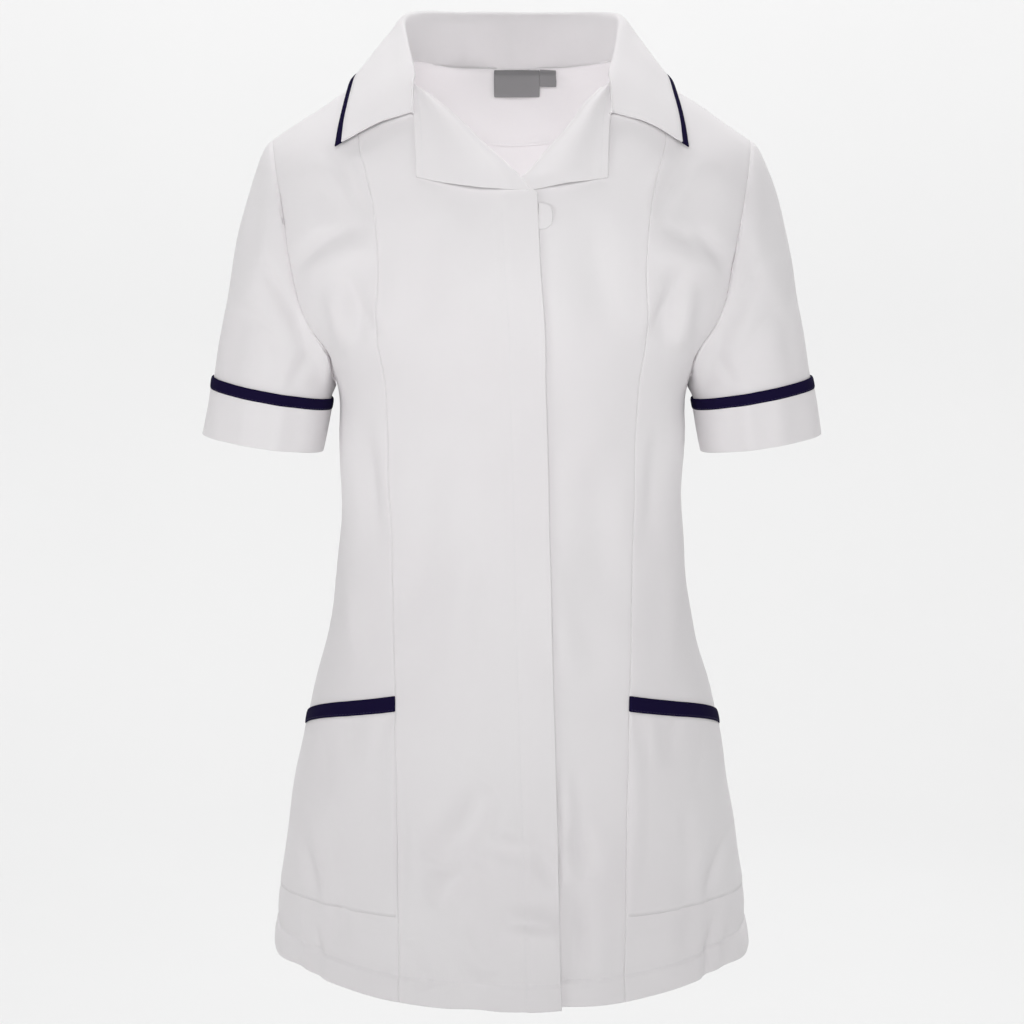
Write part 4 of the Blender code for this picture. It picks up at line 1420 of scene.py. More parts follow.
def mirrored(grid: Array) -> Array:
    """The grid on the other side of the body, still facing out."""
    return (grid * [-1, 1, 1])[:, ::-1]


SIDES = (("left", 1), ("right", -1))


@dataclass
class Fronts:
    """The four front panels, with the front overlap, the pockets and the fastening's guard."""

    cut: Cut
    finishes: Finishes
    stitching: Stitching
    hem: float = 21 * MM
    placket: float = 27 * MM
    placket_top_z: float = -0.100
    pocket_lift: float = 0.8 * MM
    trim_lift: float = 1.6 * MM
    armhole_dip: float = 0.9 * MM
    armhole_dip_width: float = 1.8 * MM
    seam_phase: float = 1.9
    hem_pucker: float = 0.55 * MM
    hem_pucker_spacing: float = 9 * MM
    hem_phase: float = 0.8
    guard_from_x: float = 0.0204
    guard_width: float = 0.0098
    guard_taper: float = 0.55
    guard_middle_z: float = -0.1075
    guard_half_height: float = 0.0095
    guard_columns: int = 14
    guard_rows: int = 20
    guard_gap_mm: float = 1.3
    guard_crown: float = 0.3 * MM
    pocket_wall: float = 0.6 * MM
    trim_wall: float = 1.2 * MM
    trim_crown: float = 0.45 * MM
    trim_stitch: float = 1.0 * MM
    creases: List[Crease] = field(
        default_factory=lambda: both_sides(PAIRED_CREASES) + list(SKIRT_CREASES)
    )

    def panel(self, name: str, grid: Array, sewn: Sequence[Edge], free: Sequence[Edge]) -> Cloth:
        """A front panel with its seams, puckers, hem and creases."""
        cloth = Cloth(name, grid, rounded={edge: 1.0 for edge in free})
        cloth.crease(self.creases, Side.FRONT)
        cloth.ripple(RIPPLE)
        cloth.roll_in(sewn)
        for number, edge in enumerate(sewn):
            cloth.pucker(edge, SEAM_PUCKER, SEAM_PUCKER_SPACING, number * self.seam_phase)
        cloth.turn_up(Edge.BOTTOM, self.hem, HEM_EXTRA)
        cloth.pucker(
            Edge.BOTTOM, self.hem_pucker, self.hem_pucker_spacing, self.hem_phase, self.hem - SEWN_IN
        )
        return cloth

    def build(self) -> None:
        """Makes the fronts, then the pockets and the guard."""
        side = self.cut.front_side()
        for word, sign in SIDES:
            grid = side if sign > 0 else mirrored(side)
            sewn = [Edge.LEFT, Edge.RIGHT, Edge.TOP]
            cloth = self.panel(f"front_side_{word}_cloth", grid, sewn, [Edge.BOTTOM])
            outer = Edge.RIGHT if sign > 0 else Edge.LEFT
            cloth.press(outer, 0.0, self.armhole_dip, self.armhole_dip_width)
            piece = cloth.put(self.finishes.white, Slot.WHITE, f"front_side_{word}")
            thread = self.stitching.sew(
                f"front_side_{word}_stitches", [cloth.run(Edge.BOTTOM, self.hem - SEWN_IN)],
                self.finishes.white_thread, Slot.WHITE,
            )
            cloth.declare(piece, [thread])
            self.pocket(word, grid, piece.name)
        for word, sign in SIDES:
            seam, edge = (Edge.RIGHT, Edge.LEFT) if sign > 0 else (Edge.LEFT, Edge.RIGHT)
            cloth = self.panel(
                f"front_centre_{word}_cloth", self.cut.front_centre(sign),
                [seam, Edge.TOP], [Edge.BOTTOM, edge],
            )
            if sign < 0:
                cloth.turn_up(edge, self.placket + SEWN_IN, HEM_EXTRA)
            piece = cloth.put(self.finishes.white, Slot.WHITE, f"front_centre_{word}")
            runs = [cloth.run(Edge.BOTTOM, self.hem - SEWN_IN)]
            if sign < 0:
                placket = cloth.run(edge, self.placket)
                keep = placket[0][:, 2] < self.placket_top_z
                runs.append((placket[0][keep], placket[1][keep]))
            thread = self.stitching.sew(
                f"front_centre_{word}_stitches", runs, self.finishes.white_thread, Slot.WHITE
            )
            with_pieces = [thread] + ([self.guard()] if sign > 0 else [])
            cloth.declare(piece, with_pieces)

    def guard(self) -> bpy.types.Object:
        """The cloth tab at the top of the concealed fastening."""
        u = np.linspace(0, 1, self.guard_columns)[None, :]
        v = np.linspace(-1, 1, self.guard_rows)[:, None]
        x = self.guard_from_x + self.guard_width * (1 - self.guard_taper * v**4) * u
        z = self.guard_middle_z + self.guard_half_height * v + 0 * u
        grid = self.cut.form.at(self.cut.form.place_of(x, z), Side.FRONT)
        cloth = Cloth("zip_guard_cloth", grid + normals(grid) * self.guard_gap_mm * MM)
        cloth.round_all()
        cloth.crown(self.guard_crown)
        return cloth.put(self.finishes.white, Slot.WHITE, "zip_guard")

    def pocket(self, word: str, grid: Array, carrier: str) -> None:
        """A pocket and its navy trim, on the points of its side front.

        Args:
            word: left or right.
            grid: The side front's points.
            carrier: The side front's name.
        """
        rows = self.cut.rows()
        low, high = self.cut.parts[0], self.cut.parts[0] + self.cut.parts[1]
        bag = (rows >= low - SLACK) & (rows <= high + SLACK)
        band = (rows >= high - SLACK) & (rows <= high + self.cut.parts[2] + SLACK)
        out = normals(grid)
        shown = (grid + out * self.pocket_lift)[bag]
        layer = Cloth(f"pocket_{word}_cloth", shown, thickness=self.pocket_wall)
        layer.crease(self.creases, Side.FRONT)
        layer.ripple(RIPPLE)
        layer.roll_in([Edge.LEFT, Edge.RIGHT], self.pocket_lift + 0.5 * MM, 1.0 * MM)
        layer.roll_in([Edge.BOTTOM], self.pocket_lift - 0.05 * MM, 4.0 * MM)
        layer.pucker(Edge.TOP, 0.45 * MM, 13 * MM, 0.7)
        layer.pucker(Edge.BOTTOM, 0.20 * MM, 17 * MM, 2.1)
        pocket = layer.put(self.finishes.white, Slot.WHITE, f"pocket_{word}")
        shown = (grid + out * self.trim_lift)[band]
        trim = Cloth(f"pocket_trim_{word}_cloth", shown, thickness=self.trim_wall)
        trim.rounded = {Edge.TOP: 1.0, Edge.BOTTOM: 0.8}
        trim.crease(self.creases, Side.FRONT)
        trim.ripple(RIPPLE)
        trim.crown(self.trim_crown)
        trim.roll_in([Edge.LEFT, Edge.RIGHT], self.trim_lift + 0.5 * MM, 0.9 * MM)
        band_piece = trim.put(self.finishes.navy, Slot.NAVY, f"pocket_trim_{word}")
        runs = [trim.run(Edge.BOTTOM, self.trim_stitch)]
        thread = self.stitching.sew(
            f"pocket_{word}_stitches", runs, self.finishes.navy_thread, Slot.NAVY
        )
        layer.declare(pocket, [band_piece, thread], [carrier])


@dataclass(frozen=True)
class Label:
    """A bare label: its name, where it ends across, and its lowest and highest place."""

    name: str
    x_low: float
    x_high: float
    z_low: float
    z_high: float


@dataclass
class Back:
    """The back, the facing inside its neck, and the bare labels that hang there."""

    cut: Cut
    finishes: Finishes
    stitching: Stitching
    hem: float = 21 * MM
    seam_phase: float = 2.3
    hem_pucker: float = 0.35 * MM
    hem_pucker_spacing: float = 10 * MM
    hem_phase: float = 1.7
    facing_rows: int = 3
    facing_gap: float = 1.4 * MM
    facing_wall: float = 0.7 * MM
    facing_lip: float = 0.5 * MM
    facing_lip_width: float = 2 * MM
    facing_stitch: float = 1.8 * MM
    tuck_up: float = 1.6 * MM
    tuck_out: float = 1.2 * MM
    tapes: Tuple[Label, ...] = (
        Label("label_main", -0.0143, 0.0222, -0.0170, 0.0035),
        Label("label_size", 0.0228, 0.0358, -0.0088, 0.0040),
    )
    label_columns: int = 30
    label_rows: int = 22
    label_wall: float = 0.5 * MM
    label_gap: float = 5.2 * MM
    label_bow: float = 0.9 * MM
    label_hang: float = 0.3 * MM
    label_sewn_in: float = 2.2 * MM
    label_sewn_width: float = 2.5 * MM

    def build(self) -> None:
        """Makes the back, the facing and the labels."""
        cloth = Cloth("back_cloth", self.cut.back(), rounded={Edge.BOTTOM: 1.0})
        cloth.crease(BACK_CREASES, Side.BACK)
        cloth.ripple(RIPPLE)
        cloth.roll_in([Edge.LEFT, Edge.RIGHT, Edge.TOP])
        for number, edge in enumerate((Edge.LEFT, Edge.RIGHT, Edge.TOP)):
            cloth.pucker(edge, SEAM_PUCKER, SEAM_PUCKER_SPACING, number * self.seam_phase)
        cloth.turn_up(Edge.BOTTOM, self.hem, HEM_EXTRA)
        cloth.pucker(
            Edge.BOTTOM, self.hem_pucker, self.hem_pucker_spacing, self.hem_phase, self.hem - SEWN_IN
        )
        piece = cloth.put(self.finishes.white, Slot.WHITE, "back")
        thread = self.stitching.sew(
            "back_stitches", [cloth.run(Edge.BOTTOM, self.hem - SEWN_IN)],
            self.finishes.white_thread, Slot.WHITE,
        )
        cloth.declare(piece, [thread])
        self.facing(cloth)
        self.labels()

    def facing(self, cloth: Cloth) -> None:
        """The facing, which turns the neck in. Its shown side faces the hollow."""
        rows = self.cut.rows() >= self.cut.last_row - self.facing_rows - SLACK
        half = len(self.cut.back_shares()) - 1
        neck = int(np.sum(self.cut.back_shares() <= self.cut.back_neck_share + SLACK)) - 1
        columns = slice(half - neck, half + neck + 1)
        inside = (cloth.points() - cloth.out * (cloth.thickness + self.facing_gap))[rows][:, columns]
        tucked = inside[-1] + unit(inside[-1] - inside[-2]) * self.tuck_up
        tucked = tucked + cloth.out[-1, columns] * self.tuck_out
        inside = np.concatenate([inside, tucked[None]])
        facing = Cloth("back_neck_facing_cloth", inside[:, ::-1], thickness=self.facing_wall)
        facing.rounded = {Edge.BOTTOM: 1.0}
        near = np.exp(-((facing.away(Edge.BOTTOM) / self.facing_lip_width) ** 2))
        facing.lift += self.facing_lip * near
        piece = facing.put(self.finishes.white, Slot.WHITE, "back_neck_facing")
        thread = self.stitching.sew(
            "facing_stitches", [facing.run(Edge.BOTTOM, self.facing_stitch)],
            self.finishes.white_thread, Slot.WHITE,
        )
        facing.declare(piece, [thread], ["back_cloth"])

    def labels(self) -> None:
        """Two bare labels of smooth tape, hanging inside the neck."""
        u = np.linspace(0, 1, self.label_columns)[None, :]
        v = np.linspace(0, 1, self.label_rows)[:, None]
        share = (1 - v) + 0 * u
        for label in self.tapes:
            x = label.x_high + (label.x_low - label.x_high) * u + 0 * v
            z = label.z_low + (label.z_high - label.z_low) * v + 0 * u
            grid = self.cut.form.at(self.cut.form.place_of(x, z), Side.BACK)
            shown = grid - normals(grid) * self.label_gap
            cloth = Cloth(f"{label.name}_tape", shown[:, ::-1], thickness=self.label_wall)
            cloth.round_all()
            cloth.lift += self.label_bow * share**2 * np.sin(np.pi * u) + self.label_hang * share
            cloth.press(Edge.TOP, 0.0, self.label_sewn_in, self.label_sewn_width)
            piece = cloth.put(self.finishes.grey, Slot.GREY, label.name)
            cloth.declare(piece, (), ["back_neck_facing_cloth"])


@dataclass
class Sleeves:
    """Both sleeves, their turned-up cuffs and the navy trims along the cuffs' tops."""

    cut: Cut
    finishes: Finishes
    stitching: Stitching
    cuff_top: Tuple[float, float, float] = (0.1900, -0.003, -0.2465)
    cuff_bottom: Tuple[float, float, float] = (0.1982, -0.004, -0.2895)
    half_width: float = 0.0472
    half_depth: float = 0.0460
    top_tilt: float = 10.5
    bottom_tilt: float = 8.5
    trim_share: float = 0.19
    head: Tuple[float, float] = (0.80, -0.60)
    underarm: Tuple[float, float] = (0.08, -1.00)
    swell: float = 0.22
    start_pull: float = 0.42
    end_pull: float = 0.75
    seam_gap: float = 0.2 * MM
    tuck_under: float = 2.0 * MM
    tuck_in: float = 0.5 * MM
    rows_by_seam: Tuple[float, ...] = (0, 0.007, 0.014, 0.024)
    rows_from: float = 0.038
    rows: int = 38
    inside_rows: int = 16
    cuff_rows: int = 18
    trim_rows: int = 9
    columns: int = 96
    cuff_lift: float = 1.7 * MM
    trim_lift: float = 1.9 * MM
    trim_wall: float = 1.3 * MM
    trim_crown: float = 0.45 * MM
    trim_stitch: float = 1.0 * MM
    seam_dent: float = 0.3 * MM
    seam_dent_width: float = 1.2 * MM
    seam_pucker: float = 0.35 * MM
    seam_pucker_spacing: float = 11 * MM
    seam_phase: float = 0.4
    ripple_share: float = 0.8
    right_strength: float = 0.9
    right_shift: float = 0.003

    def cuff_ring(self, centre: Sequence[float], tilt_deg: float, angles: Array) -> Array:
        """Points of a leaning ring of the sleeve, from its outer side round the front."""
        tilt = math.radians(tilt_deg)
        x, y = self.half_width * np.cos(angles), -self.half_depth * np.sin(angles)
        return np.array(centre) + np.stack([x * math.cos(tilt), y, x * math.sin(tilt)], -1)

    def grids(self, rows: Array, cuff_rows: Array) -> Tuple[Array, Array]:
        """The wearer's left sleeve and its cuff part.

        Args:
            rows: Shares from the armhole down to the cuff's top.
            cuff_rows: Shares down the cuff.

        Returns:
            Points from the armhole to the cuff's top, and points down the cuff.
        """
        angles = np.linspace(0, 2 * math.pi, self.columns, endpoint=False)
        half = self.columns // 2
        q_front = 1 - angles[: half + 1] / math.pi
        q_back = angles[half + 1 :] / math.pi - 1
        front = self.cut.form.at(self.cut.armhole(self.cut.front_armhole, q_front, Side.FRONT), Side.FRONT)
        back = self.cut.form.at(self.cut.armhole(self.cut.back_armhole, q_back, Side.BACK), Side.BACK)
        armhole = np.concatenate([front, back])
        top = self.cuff_ring(self.cuff_top, self.top_tilt, angles)
        bottom = self.cuff_ring(self.cuff_bottom, self.bottom_tilt, angles)
        high = (1 + np.cos(angles)) / 2
        start = np.stack(
            [
                self.underarm[0] + (self.head[0] - self.underarm[0]) * high,
                -self.swell * np.sin(angles),
                self.underarm[1] + (self.head[1] - self.underarm[1]) * high,
            ],
            -1,
        )
        start = unit(start)
        armhole = armhole + start * self.seam_gap
        chord = np.linalg.norm(top - armhole, axis=1, keepdims=True)
        end = unit(np.subtract(self.cuff_bottom, self.cuff_top))
        sleeve = [
            a * armhole + b * top + c * start * chord * self.start_pull + d * end * chord * self.end_pull
            for a, b, c, d in map(blends, rows)
        ]
        cuff = [top + (bottom - top) * t for t in cuff_rows]
        return np.array(sleeve), np.array(cuff)

    def build(self) -> None:
        """Makes the sleeves, cuffs and trims of both sides."""
        rows = np.concatenate([self.rows_by_seam, np.linspace(self.rows_from, 1, self.rows)])
        long, low = self.grids(rows, np.linspace(0, 1, self.inside_rows))
        whole = np.concatenate([long, low[1:]])
        tucked = whole[0] + unit(whole[0] - whole[1]) * self.tuck_under
        tucked = tucked - normals(whole, True)[0] * self.tuck_in
        whole = np.concatenate([tucked[None], whole])
        cuff_only = self.grids(rows, np.linspace(self.trim_share, 1, self.cuff_rows))[1]
        band_only = self.grids(rows, np.linspace(0, self.trim_share, self.trim_rows))[1]
        for word, sign in SIDES:
            self.side(word, sign, whole, cuff_only, band_only)

    def side(self, word: str, sign: int, whole: Array, cuff: Array, band: Array) -> None:
        """The sleeve, cuff and trim of one side.

        Args:
            word: left or right.
            sign: 1 for the wearer's left.
            whole: The sleeve's points, down to the end of the cuff.
            cuff: The cuff's points.
            band: The trim's points.
        """
        grids = [g if sign > 0 else mirrored(g) for g in (whole, cuff, band)]
        folds = SLEEVE_CREASES + CUFF_CREASES
        if sign < 0:
            folds = [fold.mirrored(self.right_strength, self.right_shift) for fold in folds]
        sleeve = Cloth(f"sleeve_{word}_cloth", grids[0], closed=True)
        turned = Cloth(f"cuff_{word}_cloth", grids[1], closed=True)
        trim = Cloth(f"cuff_trim_{word}_cloth", grids[2], closed=True, thickness=self.trim_wall)
        for cloth in (sleeve, turned, trim):
            for where in Side:
                cloth.crease(folds, where)
            cloth.ripple(self.ripple_share * RIPPLE)
        seam = math.hypot(self.tuck_under, self.tuck_in)
        sleeve.rounded = {Edge.BOTTOM: 1.0, Edge.TOP: 0.5}
        sleeve.press(Edge.BOTTOM, seam, self.seam_dent, self.seam_dent_width)
        sleeve.pucker(
            Edge.BOTTOM, self.seam_pucker, self.seam_pucker_spacing, self.seam_phase, seam
        )
        piece = sleeve.put(self.finishes.white, Slot.WHITE, f"sleeve_{word}")
        turned.lift += self.cuff_lift
        turned.rounded = {Edge.TOP: 1.0, Edge.BOTTOM: 0.4}
        cuff_piece = turned.put(self.finishes.white, Slot.WHITE, f"cuff_{word}")
        trim.lift += self.trim_lift
        trim.rounded = {Edge.TOP: 0.8, Edge.BOTTOM: 1.0}
        trim.crown(self.trim_crown)
        trim_piece = trim.put(self.finishes.navy, Slot.NAVY, f"cuff_trim_{word}")
        thread = self.stitching.sew(
            f"cuff_{word}_stitches", [trim.run(Edge.TOP, self.trim_stitch)],
            self.finishes.navy_thread, Slot.NAVY,
        )
        sleeve.declare(piece)
        turned.declare(cuff_piece, [trim_piece, thread], [piece.name])


@dataclass(frozen=True)
class Station:
    """One place round the collar: its seam, its roll and its edge."""

    neck_x: float
    neck_z: float
    side: int
    lift: float
    roll_x: float
    roll_y: float
    roll_z: float
    edge_x: float
    edge_y: float
    edge_z: float
    bow: float


@dataclass
class Collar:
    """The collar with its stand, the navy piping on its edge, and the two revers."""

    cut: Cut
    finishes: Finishes
    stitching: Stitching
    stations: Tuple[Station, ...] = (
        Station(0.000, 0.0045, 1, 0, 0.000, 0.0755, 0.0470, 0.000, 0.0915, -0.0130, 0.004),
        Station(0.040, 0.0057, 1, 0, 0.041, 0.0720, 0.0470, 0.050, 0.0905, -0.0145, 0.004),
        Station(0.070, 0.0095, 1, 0, 0.0725, 0.0560, 0.0468, 0.090, 0.0765, -0.0135, 0.004),
        Station(0.086, 0.0135, 1, 0, 0.0845, 0.0300, 0.0430, 0.115, 0.0425, -0.0060, 0.004),
        Station(0.0885, 0.0125, -1, 0, 0.0835, -0.0020, 0.0270, 0.1220, 0.0000, -0.0025, 0.004),
        Station(0.0815, 0.0045, -1, 0.0025, 0.0800, -0.0250, 0.0100, 0.1260, -0.0300, -0.0190, 0.004),
        Station(0.0768, -0.0075, -1, 0.0032, 0.0768, -0.0430, -0.0040, 0.1290, -0.0500, -0.0355, 0.005),
        Station(0.0748, -0.0315, -1, 0.0032, 0.0762, -0.0630, -0.0305, 0.1308, -0.0662, -0.0530, 0.005),
    )
    wall: float = 1.4 * MM
    seam_turn: float = 1.2 * MM
    roll_width: float = 6.0 * MM
    stand_share: float = 0.8
    roll_rise: float = 0.4
    turn_share: float = 0.4
    bow_out: float = 0.6
    bow_up: float = 0.8
    lift_rise: float = 0.3
    columns_half: int = 80
    rows: int = 44
    revers_outer_x: float = 0.0738
    revers_tucked_x: float = 0.0768
    revers_top_z: float = -0.0120
    revers_middle_z: float = -0.0450
    revers_stand: float = 1.8 * MM
    revers_bulge: float = 3.4 * MM
    revers_crest: float = 1.15
    revers_wall: float = 0.8 * MM
    revers_height: float = 0.09
    revers_width: float = 0.075
    revers_step: float = 0.0022
    revers_radius: float = 2.0 * MM
    revers_turns_deg: Tuple[float, ...] = (30, 60, 90, 120, 150)
    revers_inside: float = 0.24
    piping_over: float = 0.4 * MM
    piping_width: float = 4.3 * MM
    piping_rows: int = 8
    piping_stand_mm: float = 0.3
    piping_wall: float = 2.0 * MM
    piping_crown: float = 0.3 * MM
    bottom_right: Tuple[Place, ...] = (
        Place(0.0120, -0.0890), Place(-0.0167, -0.0881), Place(-0.0723, -0.0789),
    )
    bottom_left: Tuple[Place, ...] = (
        Place(0.0148, -0.0881), Place(0.0372, -0.0847), Place(0.0723, -0.0789),
    )

    def grid(self) -> Array:
        """The surface inside the collar's fold, rows from its seam to its edge.

        Returns:
            Points, with columns from the wearer's left notch round the back to the right one.
        """
        form = self.cut.form
        seam = np.array([
            form.at(form.place_of(s.neck_x, s.neck_z), Side(s.side)) + [0, -s.lift, s.lift * self.lift_rise]
            for s in self.stations
        ])
        roll = np.array([(s.roll_x, s.roll_y, s.roll_z) for s in self.stations])
        edge = np.array([(s.edge_x, s.edge_y, s.edge_z) for s in self.stations])
        t = travelled(roll, 0)
        at = np.linspace(0, t[-1], self.columns_half + 1)
        seam, roll, edge = (
            np.stack([smooth(t, line[:, k], at) for k in range(3)], -1) for line in (seam, roll, edge)
        )
        bow = smooth(t, [s.bow for s in self.stations], at)
        out = unit((edge - roll) * [1, 1, 0])
        up = np.array([0, 0, 1.0])
        stand = np.linalg.norm(roll - seam, axis=1, keepdims=True)
        width = np.minimum(self.roll_width, stand * self.stand_share)
        inner, outer = roll - out * width / 2, roll + out * width / 2
        middle = (outer + edge) / 2 + (out * self.bow_out + up * self.bow_up) * bow[:, None]
        crest = up * width * self.roll_rise
        turn = outer + (middle - outer) * self.turn_share
        controls = np.array(
            [seam, (seam + inner) / 2, inner + crest, outer + crest, turn, middle, edge]
        )
        half = self.spline(controls, self.rows + 1)[:, ::-1]
        half[:, -1, 0] = 0
        return np.concatenate([half, half[:, -2::-1] * [-1, 1, 1]], axis=1)

    @staticmethod
    def spline(controls: Array, count: int) -> Array:
        """Points of a clamped cubic B-spline.

        Args:
            controls: Control points, one set for each column.
            count: How many rows to make.

        Returns:
            The rows.
        """
        degree, number = 3, len(controls)
        inner = np.linspace(0, 1, number - degree + 1)
        knots = np.concatenate([[0] * degree, inner, [1] * degree])
        t = np.linspace(0, 1, count)
        t[-1] -= SLACK
        weights = [((t >= knots[i]) & (t < knots[i + 1])).astype(float) for i in range(len(knots) - 1)]
        for d in range(1, degree + 1):
            nexts = []
            for i in range(len(knots) - 1 - d):
                total = np.zeros_like(t)
                if knots[i + d] > knots[i]:
                    total += (t - knots[i]) / (knots[i + d] - knots[i]) * weights[i]
                if knots[i + d + 1] > knots[i + 1]:
                    left = knots[i + d + 1] - t
                    total += left / (knots[i + d + 1] - knots[i + 1]) * weights[i + 1]
                nexts.append(total)
            weights = nexts
        return np.tensordot(np.array(weights).T, controls, axes=1)

    def build(self) -> None:
        """Makes the collar, its piping and the revers."""
        fold = self.grid()
        into = normals(fold)
        shown = (fold - into * self.wall)[:, ::-1]
        sewn_in = shown[0] - unit(shown[1] - shown[0]) * self.seam_turn
        collar = Cloth("collar_cloth", np.concatenate([sewn_in[None], shown]), thickness=self.wall)
        collar.rounded = {Edge.LEFT: 1.0, Edge.RIGHT: 1.0, Edge.TOP: 0.5}
        collar.ripple(0.6 * RIPPLE)
        collar.press(Edge.TOP, EDGE_STITCH, STITCH_DENT, STITCH_DENT_WIDTH)
        piece = collar.put(self.finishes.white, Slot.WHITE, "collar")
        runs = [collar.run(Edge.TOP, EDGE_STITCH)]
        runs += [collar.run(edge, COLLAR_END_STITCH) for edge in (Edge.LEFT, Edge.RIGHT)]
        thread = self.stitching.sew("collar_stitches", runs, self.finishes.white_thread, Slot.WHITE)
        collar.declare(piece, [self.piping(collar), thread])
        self.revers("right", -1, self.cut.roll_right, self.bottom_right)
        self.revers("left", 1, self.cut.roll_left, self.bottom_left)

    def piping(self, collar: Cloth) -> bpy.types.Object:
        """The navy binding along the collar's outer edge."""
        shown = collar.points()
        beyond = unit(shown[-1] - shown[-2])
        across = np.linspace(-self.piping_over, self.piping_width, self.piping_rows)
        rows = [shown[-1] + beyond * a + collar.out[-1] * self.piping_stand_mm * MM for a in across]
        binding = Cloth("collar_piping_binding", np.array(rows), thickness=self.piping_wall)
        binding.round_all()
        binding.crown(self.piping_crown)
        return binding.put(self.finishes.navy, Slot.NAVY, "collar_piping")

    def revers(self, word: str, sign: int, roll: Sequence[Place], bottom: Sequence[Place]) -> None:
        """A revers, which rolls over at its inner edge and goes on inside as a facing.

        Args:
            word: left or right.
            sign: 1 for the wearer's left.
            roll: The roll line, from the V up.
            bottom: The revers' bottom edge, from the roll line out.
        """
        form = self.cut.form
        v = shares(self.revers_height, self.revers_step)
        u = shares(self.revers_width, self.revers_step)
        outer_line = [
            Place(sign * self.revers_tucked_x, self.revers_top_z),
            Place(sign * self.revers_outer_x, self.revers_middle_z),
            bottom[-1],
        ]
        inner = form.along([bottom[0]] + list(roll[:-1]), v, Side.FRONT)
        outer = form.along(outer_line, 1 - v, Side.FRONT)
        low = form.along(bottom, u, Side.FRONT)
        high = inner[-1] + (outer[-1] - inner[-1]) * u[:, None]
        places = patch(low, high, inner, outer, u, v)
        surface = form.at(places, Side.FRONT)
        out = normals(surface) * sign
        lift = self.cut.overlap_lift(surface) if sign < 0 else 0 * surface[..., :1]
        base = surface + out * lift
        bulge = self.revers_bulge * np.sin(np.pi * np.clip(u * self.revers_crest, 0, 1)) ** 2
        top = base + out * (self.revers_stand + bulge)[None, :, None]
        radius = self.revers_radius
        away = unit(base[:, 0] - base[:, 2])
        centre = top[:, 0] - out[:, 0] * radius
        turns = np.radians(self.revers_turns_deg)
        wrap = [centre + (away * math.sin(a) + out[:, 0] * math.cos(a)) * radius for a in turns]
        inside = int(np.sum(u < self.revers_inside))
        facing = (base + out * (self.revers_stand - 2 * radius))[:, :inside]
        columns = np.concatenate([facing[:, ::-1], np.stack(wrap[::-1], 1), top], axis=1)
        if sign < 0:
            columns = columns[:, ::-1]
        cloth = Cloth(f"revers_{word}_cloth", columns, thickness=self.revers_wall)
        cloth.round_all()
        free = Edge.RIGHT if sign > 0 else Edge.LEFT
        cloth.press(free, EDGE_STITCH, STITCH_DENT, STITCH_DENT_WIDTH)
        piece = cloth.put(self.finishes.white, Slot.WHITE, f"revers_{word}")
        runs = [cloth.run(free, EDGE_STITCH)]
        thread = self.stitching.sew(
            f"revers_{word}_stitches", runs, self.finishes.white_thread, Slot.WHITE
        )
        cloth.declare(piece, [thread], [f"front_centre_{word}_cloth"])


@dataclass(frozen=True)
class Lamp:
    """A soft square light: where it stands, what it faces, its side, its power in watts, its spread."""

    name: str
    at: Tuple[float, float, float]
    aim: Tuple[float, float, float]
    size: float
    power: float
    spread_deg: float = 180.0

    def build(self) -> None:
        """Hangs the light."""
        data = bpy.data.lights.new(self.name, "AREA")
        data.size = self.size
        data.energy = self.power
        data.spread = math.radians(self.spread_deg)
        lamp = bpy.data.objects.new(self.name, data)
        lamp.location = self.at
        turn = (Vector(self.aim) - Vector(self.at)).to_track_quat("-Z", "Y")
        lamp.rotation_euler = turn.to_euler()
        lamp.visible_camera = False
        bpy.context.scene.collection.objects.link(lamp)


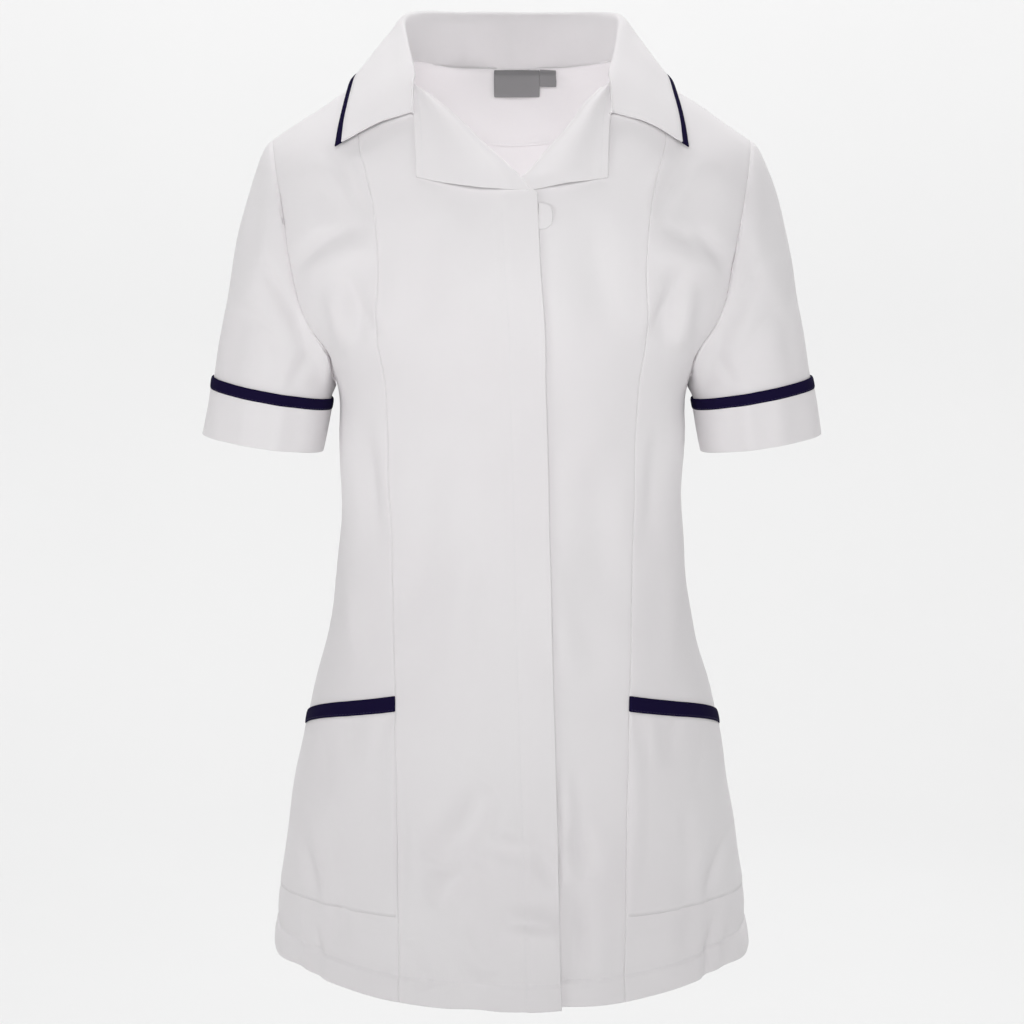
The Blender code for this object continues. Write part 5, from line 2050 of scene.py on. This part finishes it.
@dataclass
class Studio:
    """A plain pale floor in a round light tent, soft light, and the photograph's camera."""

    floor_z: float = -1.40
    tent_radius: float = 4.2
    tent_height: float = 2.6
    tent_bend: float = 0.9
    tent_bend_steps: int = 12
    tent_sides: int = 64
    tent_glow: float = 0.32
    paper_tones: Tuple[float, float] = (0.49, 0.51)
    paper_cloud: float = 2.0
    paper_roughness: float = 0.9
    sky_strength: float = 0.02
    camera_at: Tuple[float, float, float] = (0.0, -2.35, -0.02)
    target: Tuple[float, float, float] = (0.0, 0.0, -0.347)
    picture: float = 1024.0
    metres_per_pixel: float = 0.0008
    sensor: float = 36.0
    lamps: Tuple[Lamp, ...] = (
        Lamp("front", (-0.1, -1.45, 0.34), (0.0, -0.1, -0.26), 0.7, 2.05, 76.0),
        Lamp("right", (1.7, -1.0, -0.1), (0.0, 0.0, -0.15), 0.8, 5.8),
        Lamp("left", (-1.7, -1.0, -0.1), (0.0, 0.0, -0.15), 0.8, 7.0),
        Lamp("inner", (0.0, 0.0, -0.36), (0.0, 0.02, 0.0), 0.10, 0.30),
        Lamp("rear", (1.2, 2.2, 1.0), (0.0, 0.0, -0.30), 1.2, 7.0),
        Lamp("backdrop", (0.0, 1.2, 2.8), (0.0, 4.2, -0.6), 2.4, 165.0),
    )

    def build(self) -> None:
        """Makes the stage, the lights and the camera."""
        self.tent()
        for lamp in self.lamps:
            lamp.build()
        self.sky()
        self.camera()

    def tent(self) -> None:
        """The floor and the wall round it, as one turned sheet."""
        bends = np.linspace(0, math.pi / 2, self.tent_bend_steps)
        flat = self.tent_radius - self.tent_bend
        outline = [(0.0, 0.0)]
        outline += [
            (flat + self.tent_bend * math.sin(a), self.tent_bend * (1 - math.cos(a))) for a in bends
        ]
        outline.append((self.tent_radius, self.tent_height))
        sheet = bmesh.new()
        verts = [sheet.verts.new((r, 0, self.floor_z + z)) for r, z in outline]
        edges = [sheet.edges.new(pair) for pair in zip(verts, verts[1:])]
        bmesh.ops.spin(
            sheet, geom=verts + edges, cent=(0, 0, 0), axis=(0, 0, 1), angle=2 * math.pi,
            steps=self.tent_sides, use_duplicate=False,
        )
        bmesh.ops.remove_doubles(sheet, verts=sheet.verts, dist=0.1 * MM)
        mesh = bpy.data.meshes.new("floor")
        sheet.to_mesh(mesh)
        sheet.free()
        mesh.shade_smooth()
        mesh.materials.append(self.paper())
        floor = bpy.data.objects.new("floor", mesh)
        bpy.context.scene.collection.objects.link(floor)

    def paper(self) -> bpy.types.Material:
        """White background paper, with light that comes through it."""
        graph = Graph("pale_paper")
        where = graph.node("ShaderNodeTexCoord", {}, {})
        cloud = graph.noise(where.outputs["Object"], self.paper_cloud)
        dark, light = ((tone, tone, tone, 1) for tone in self.paper_tones)
        graph.feed(graph.shader.inputs["Base Color"], graph.mix(cloud, dark, light))
        graph.shader.inputs["Roughness"].default_value = self.paper_roughness
        graph.shader.inputs["Emission Color"].default_value = (1, 1, 1, 1)
        graph.shader.inputs["Emission Strength"].default_value = self.tent_glow
        return graph.material

    def sky(self) -> None:
        """Even white light over the tent."""
        world = bpy.data.worlds.new("studio")
        world.use_nodes = True
        world.node_tree.nodes["Background"].inputs["Color"].default_value = (1, 1, 1, 1)
        world.node_tree.nodes["Background"].inputs["Strength"].default_value = self.sky_strength
        bpy.context.scene.world = world
        bpy.context.scene.view_settings.view_transform = "Standard"

    def camera(self) -> None:
        """The camera, a little above the middle and looking slightly down."""
        data = bpy.data.cameras.new("camera")
        distance = (Vector(self.target) - Vector(self.camera_at)).length
        data.sensor_width = self.sensor
        data.lens = distance / self.metres_per_pixel / self.picture * self.sensor
        camera = bpy.data.objects.new("camera", data)
        camera.location = self.camera_at
        aim = Vector(self.target) - Vector(self.camera_at)
        camera.rotation_euler = aim.to_track_quat("-Z", "Y").to_euler()
        bpy.context.scene.collection.objects.link(camera)
        bpy.context.scene.camera = camera


def main() -> None:
    """Builds the tunic's sub-assemblies in order, then the studio."""
    logging.basicConfig(level=logging.INFO, format="%(name)s: %(message)s")
    cut, finishes, stitching = Cut(), Finishes(), Stitching()
    for part in (
        Back(cut, finishes, stitching),
        Fronts(cut, finishes, stitching),
        Sleeves(cut, finishes, stitching),
        Collar(cut, finishes, stitching),
        Studio(),
    ):
        part.build()
        LOG.info("built the %s", type(part).__name__)


if __name__ == "__main__":
    main()
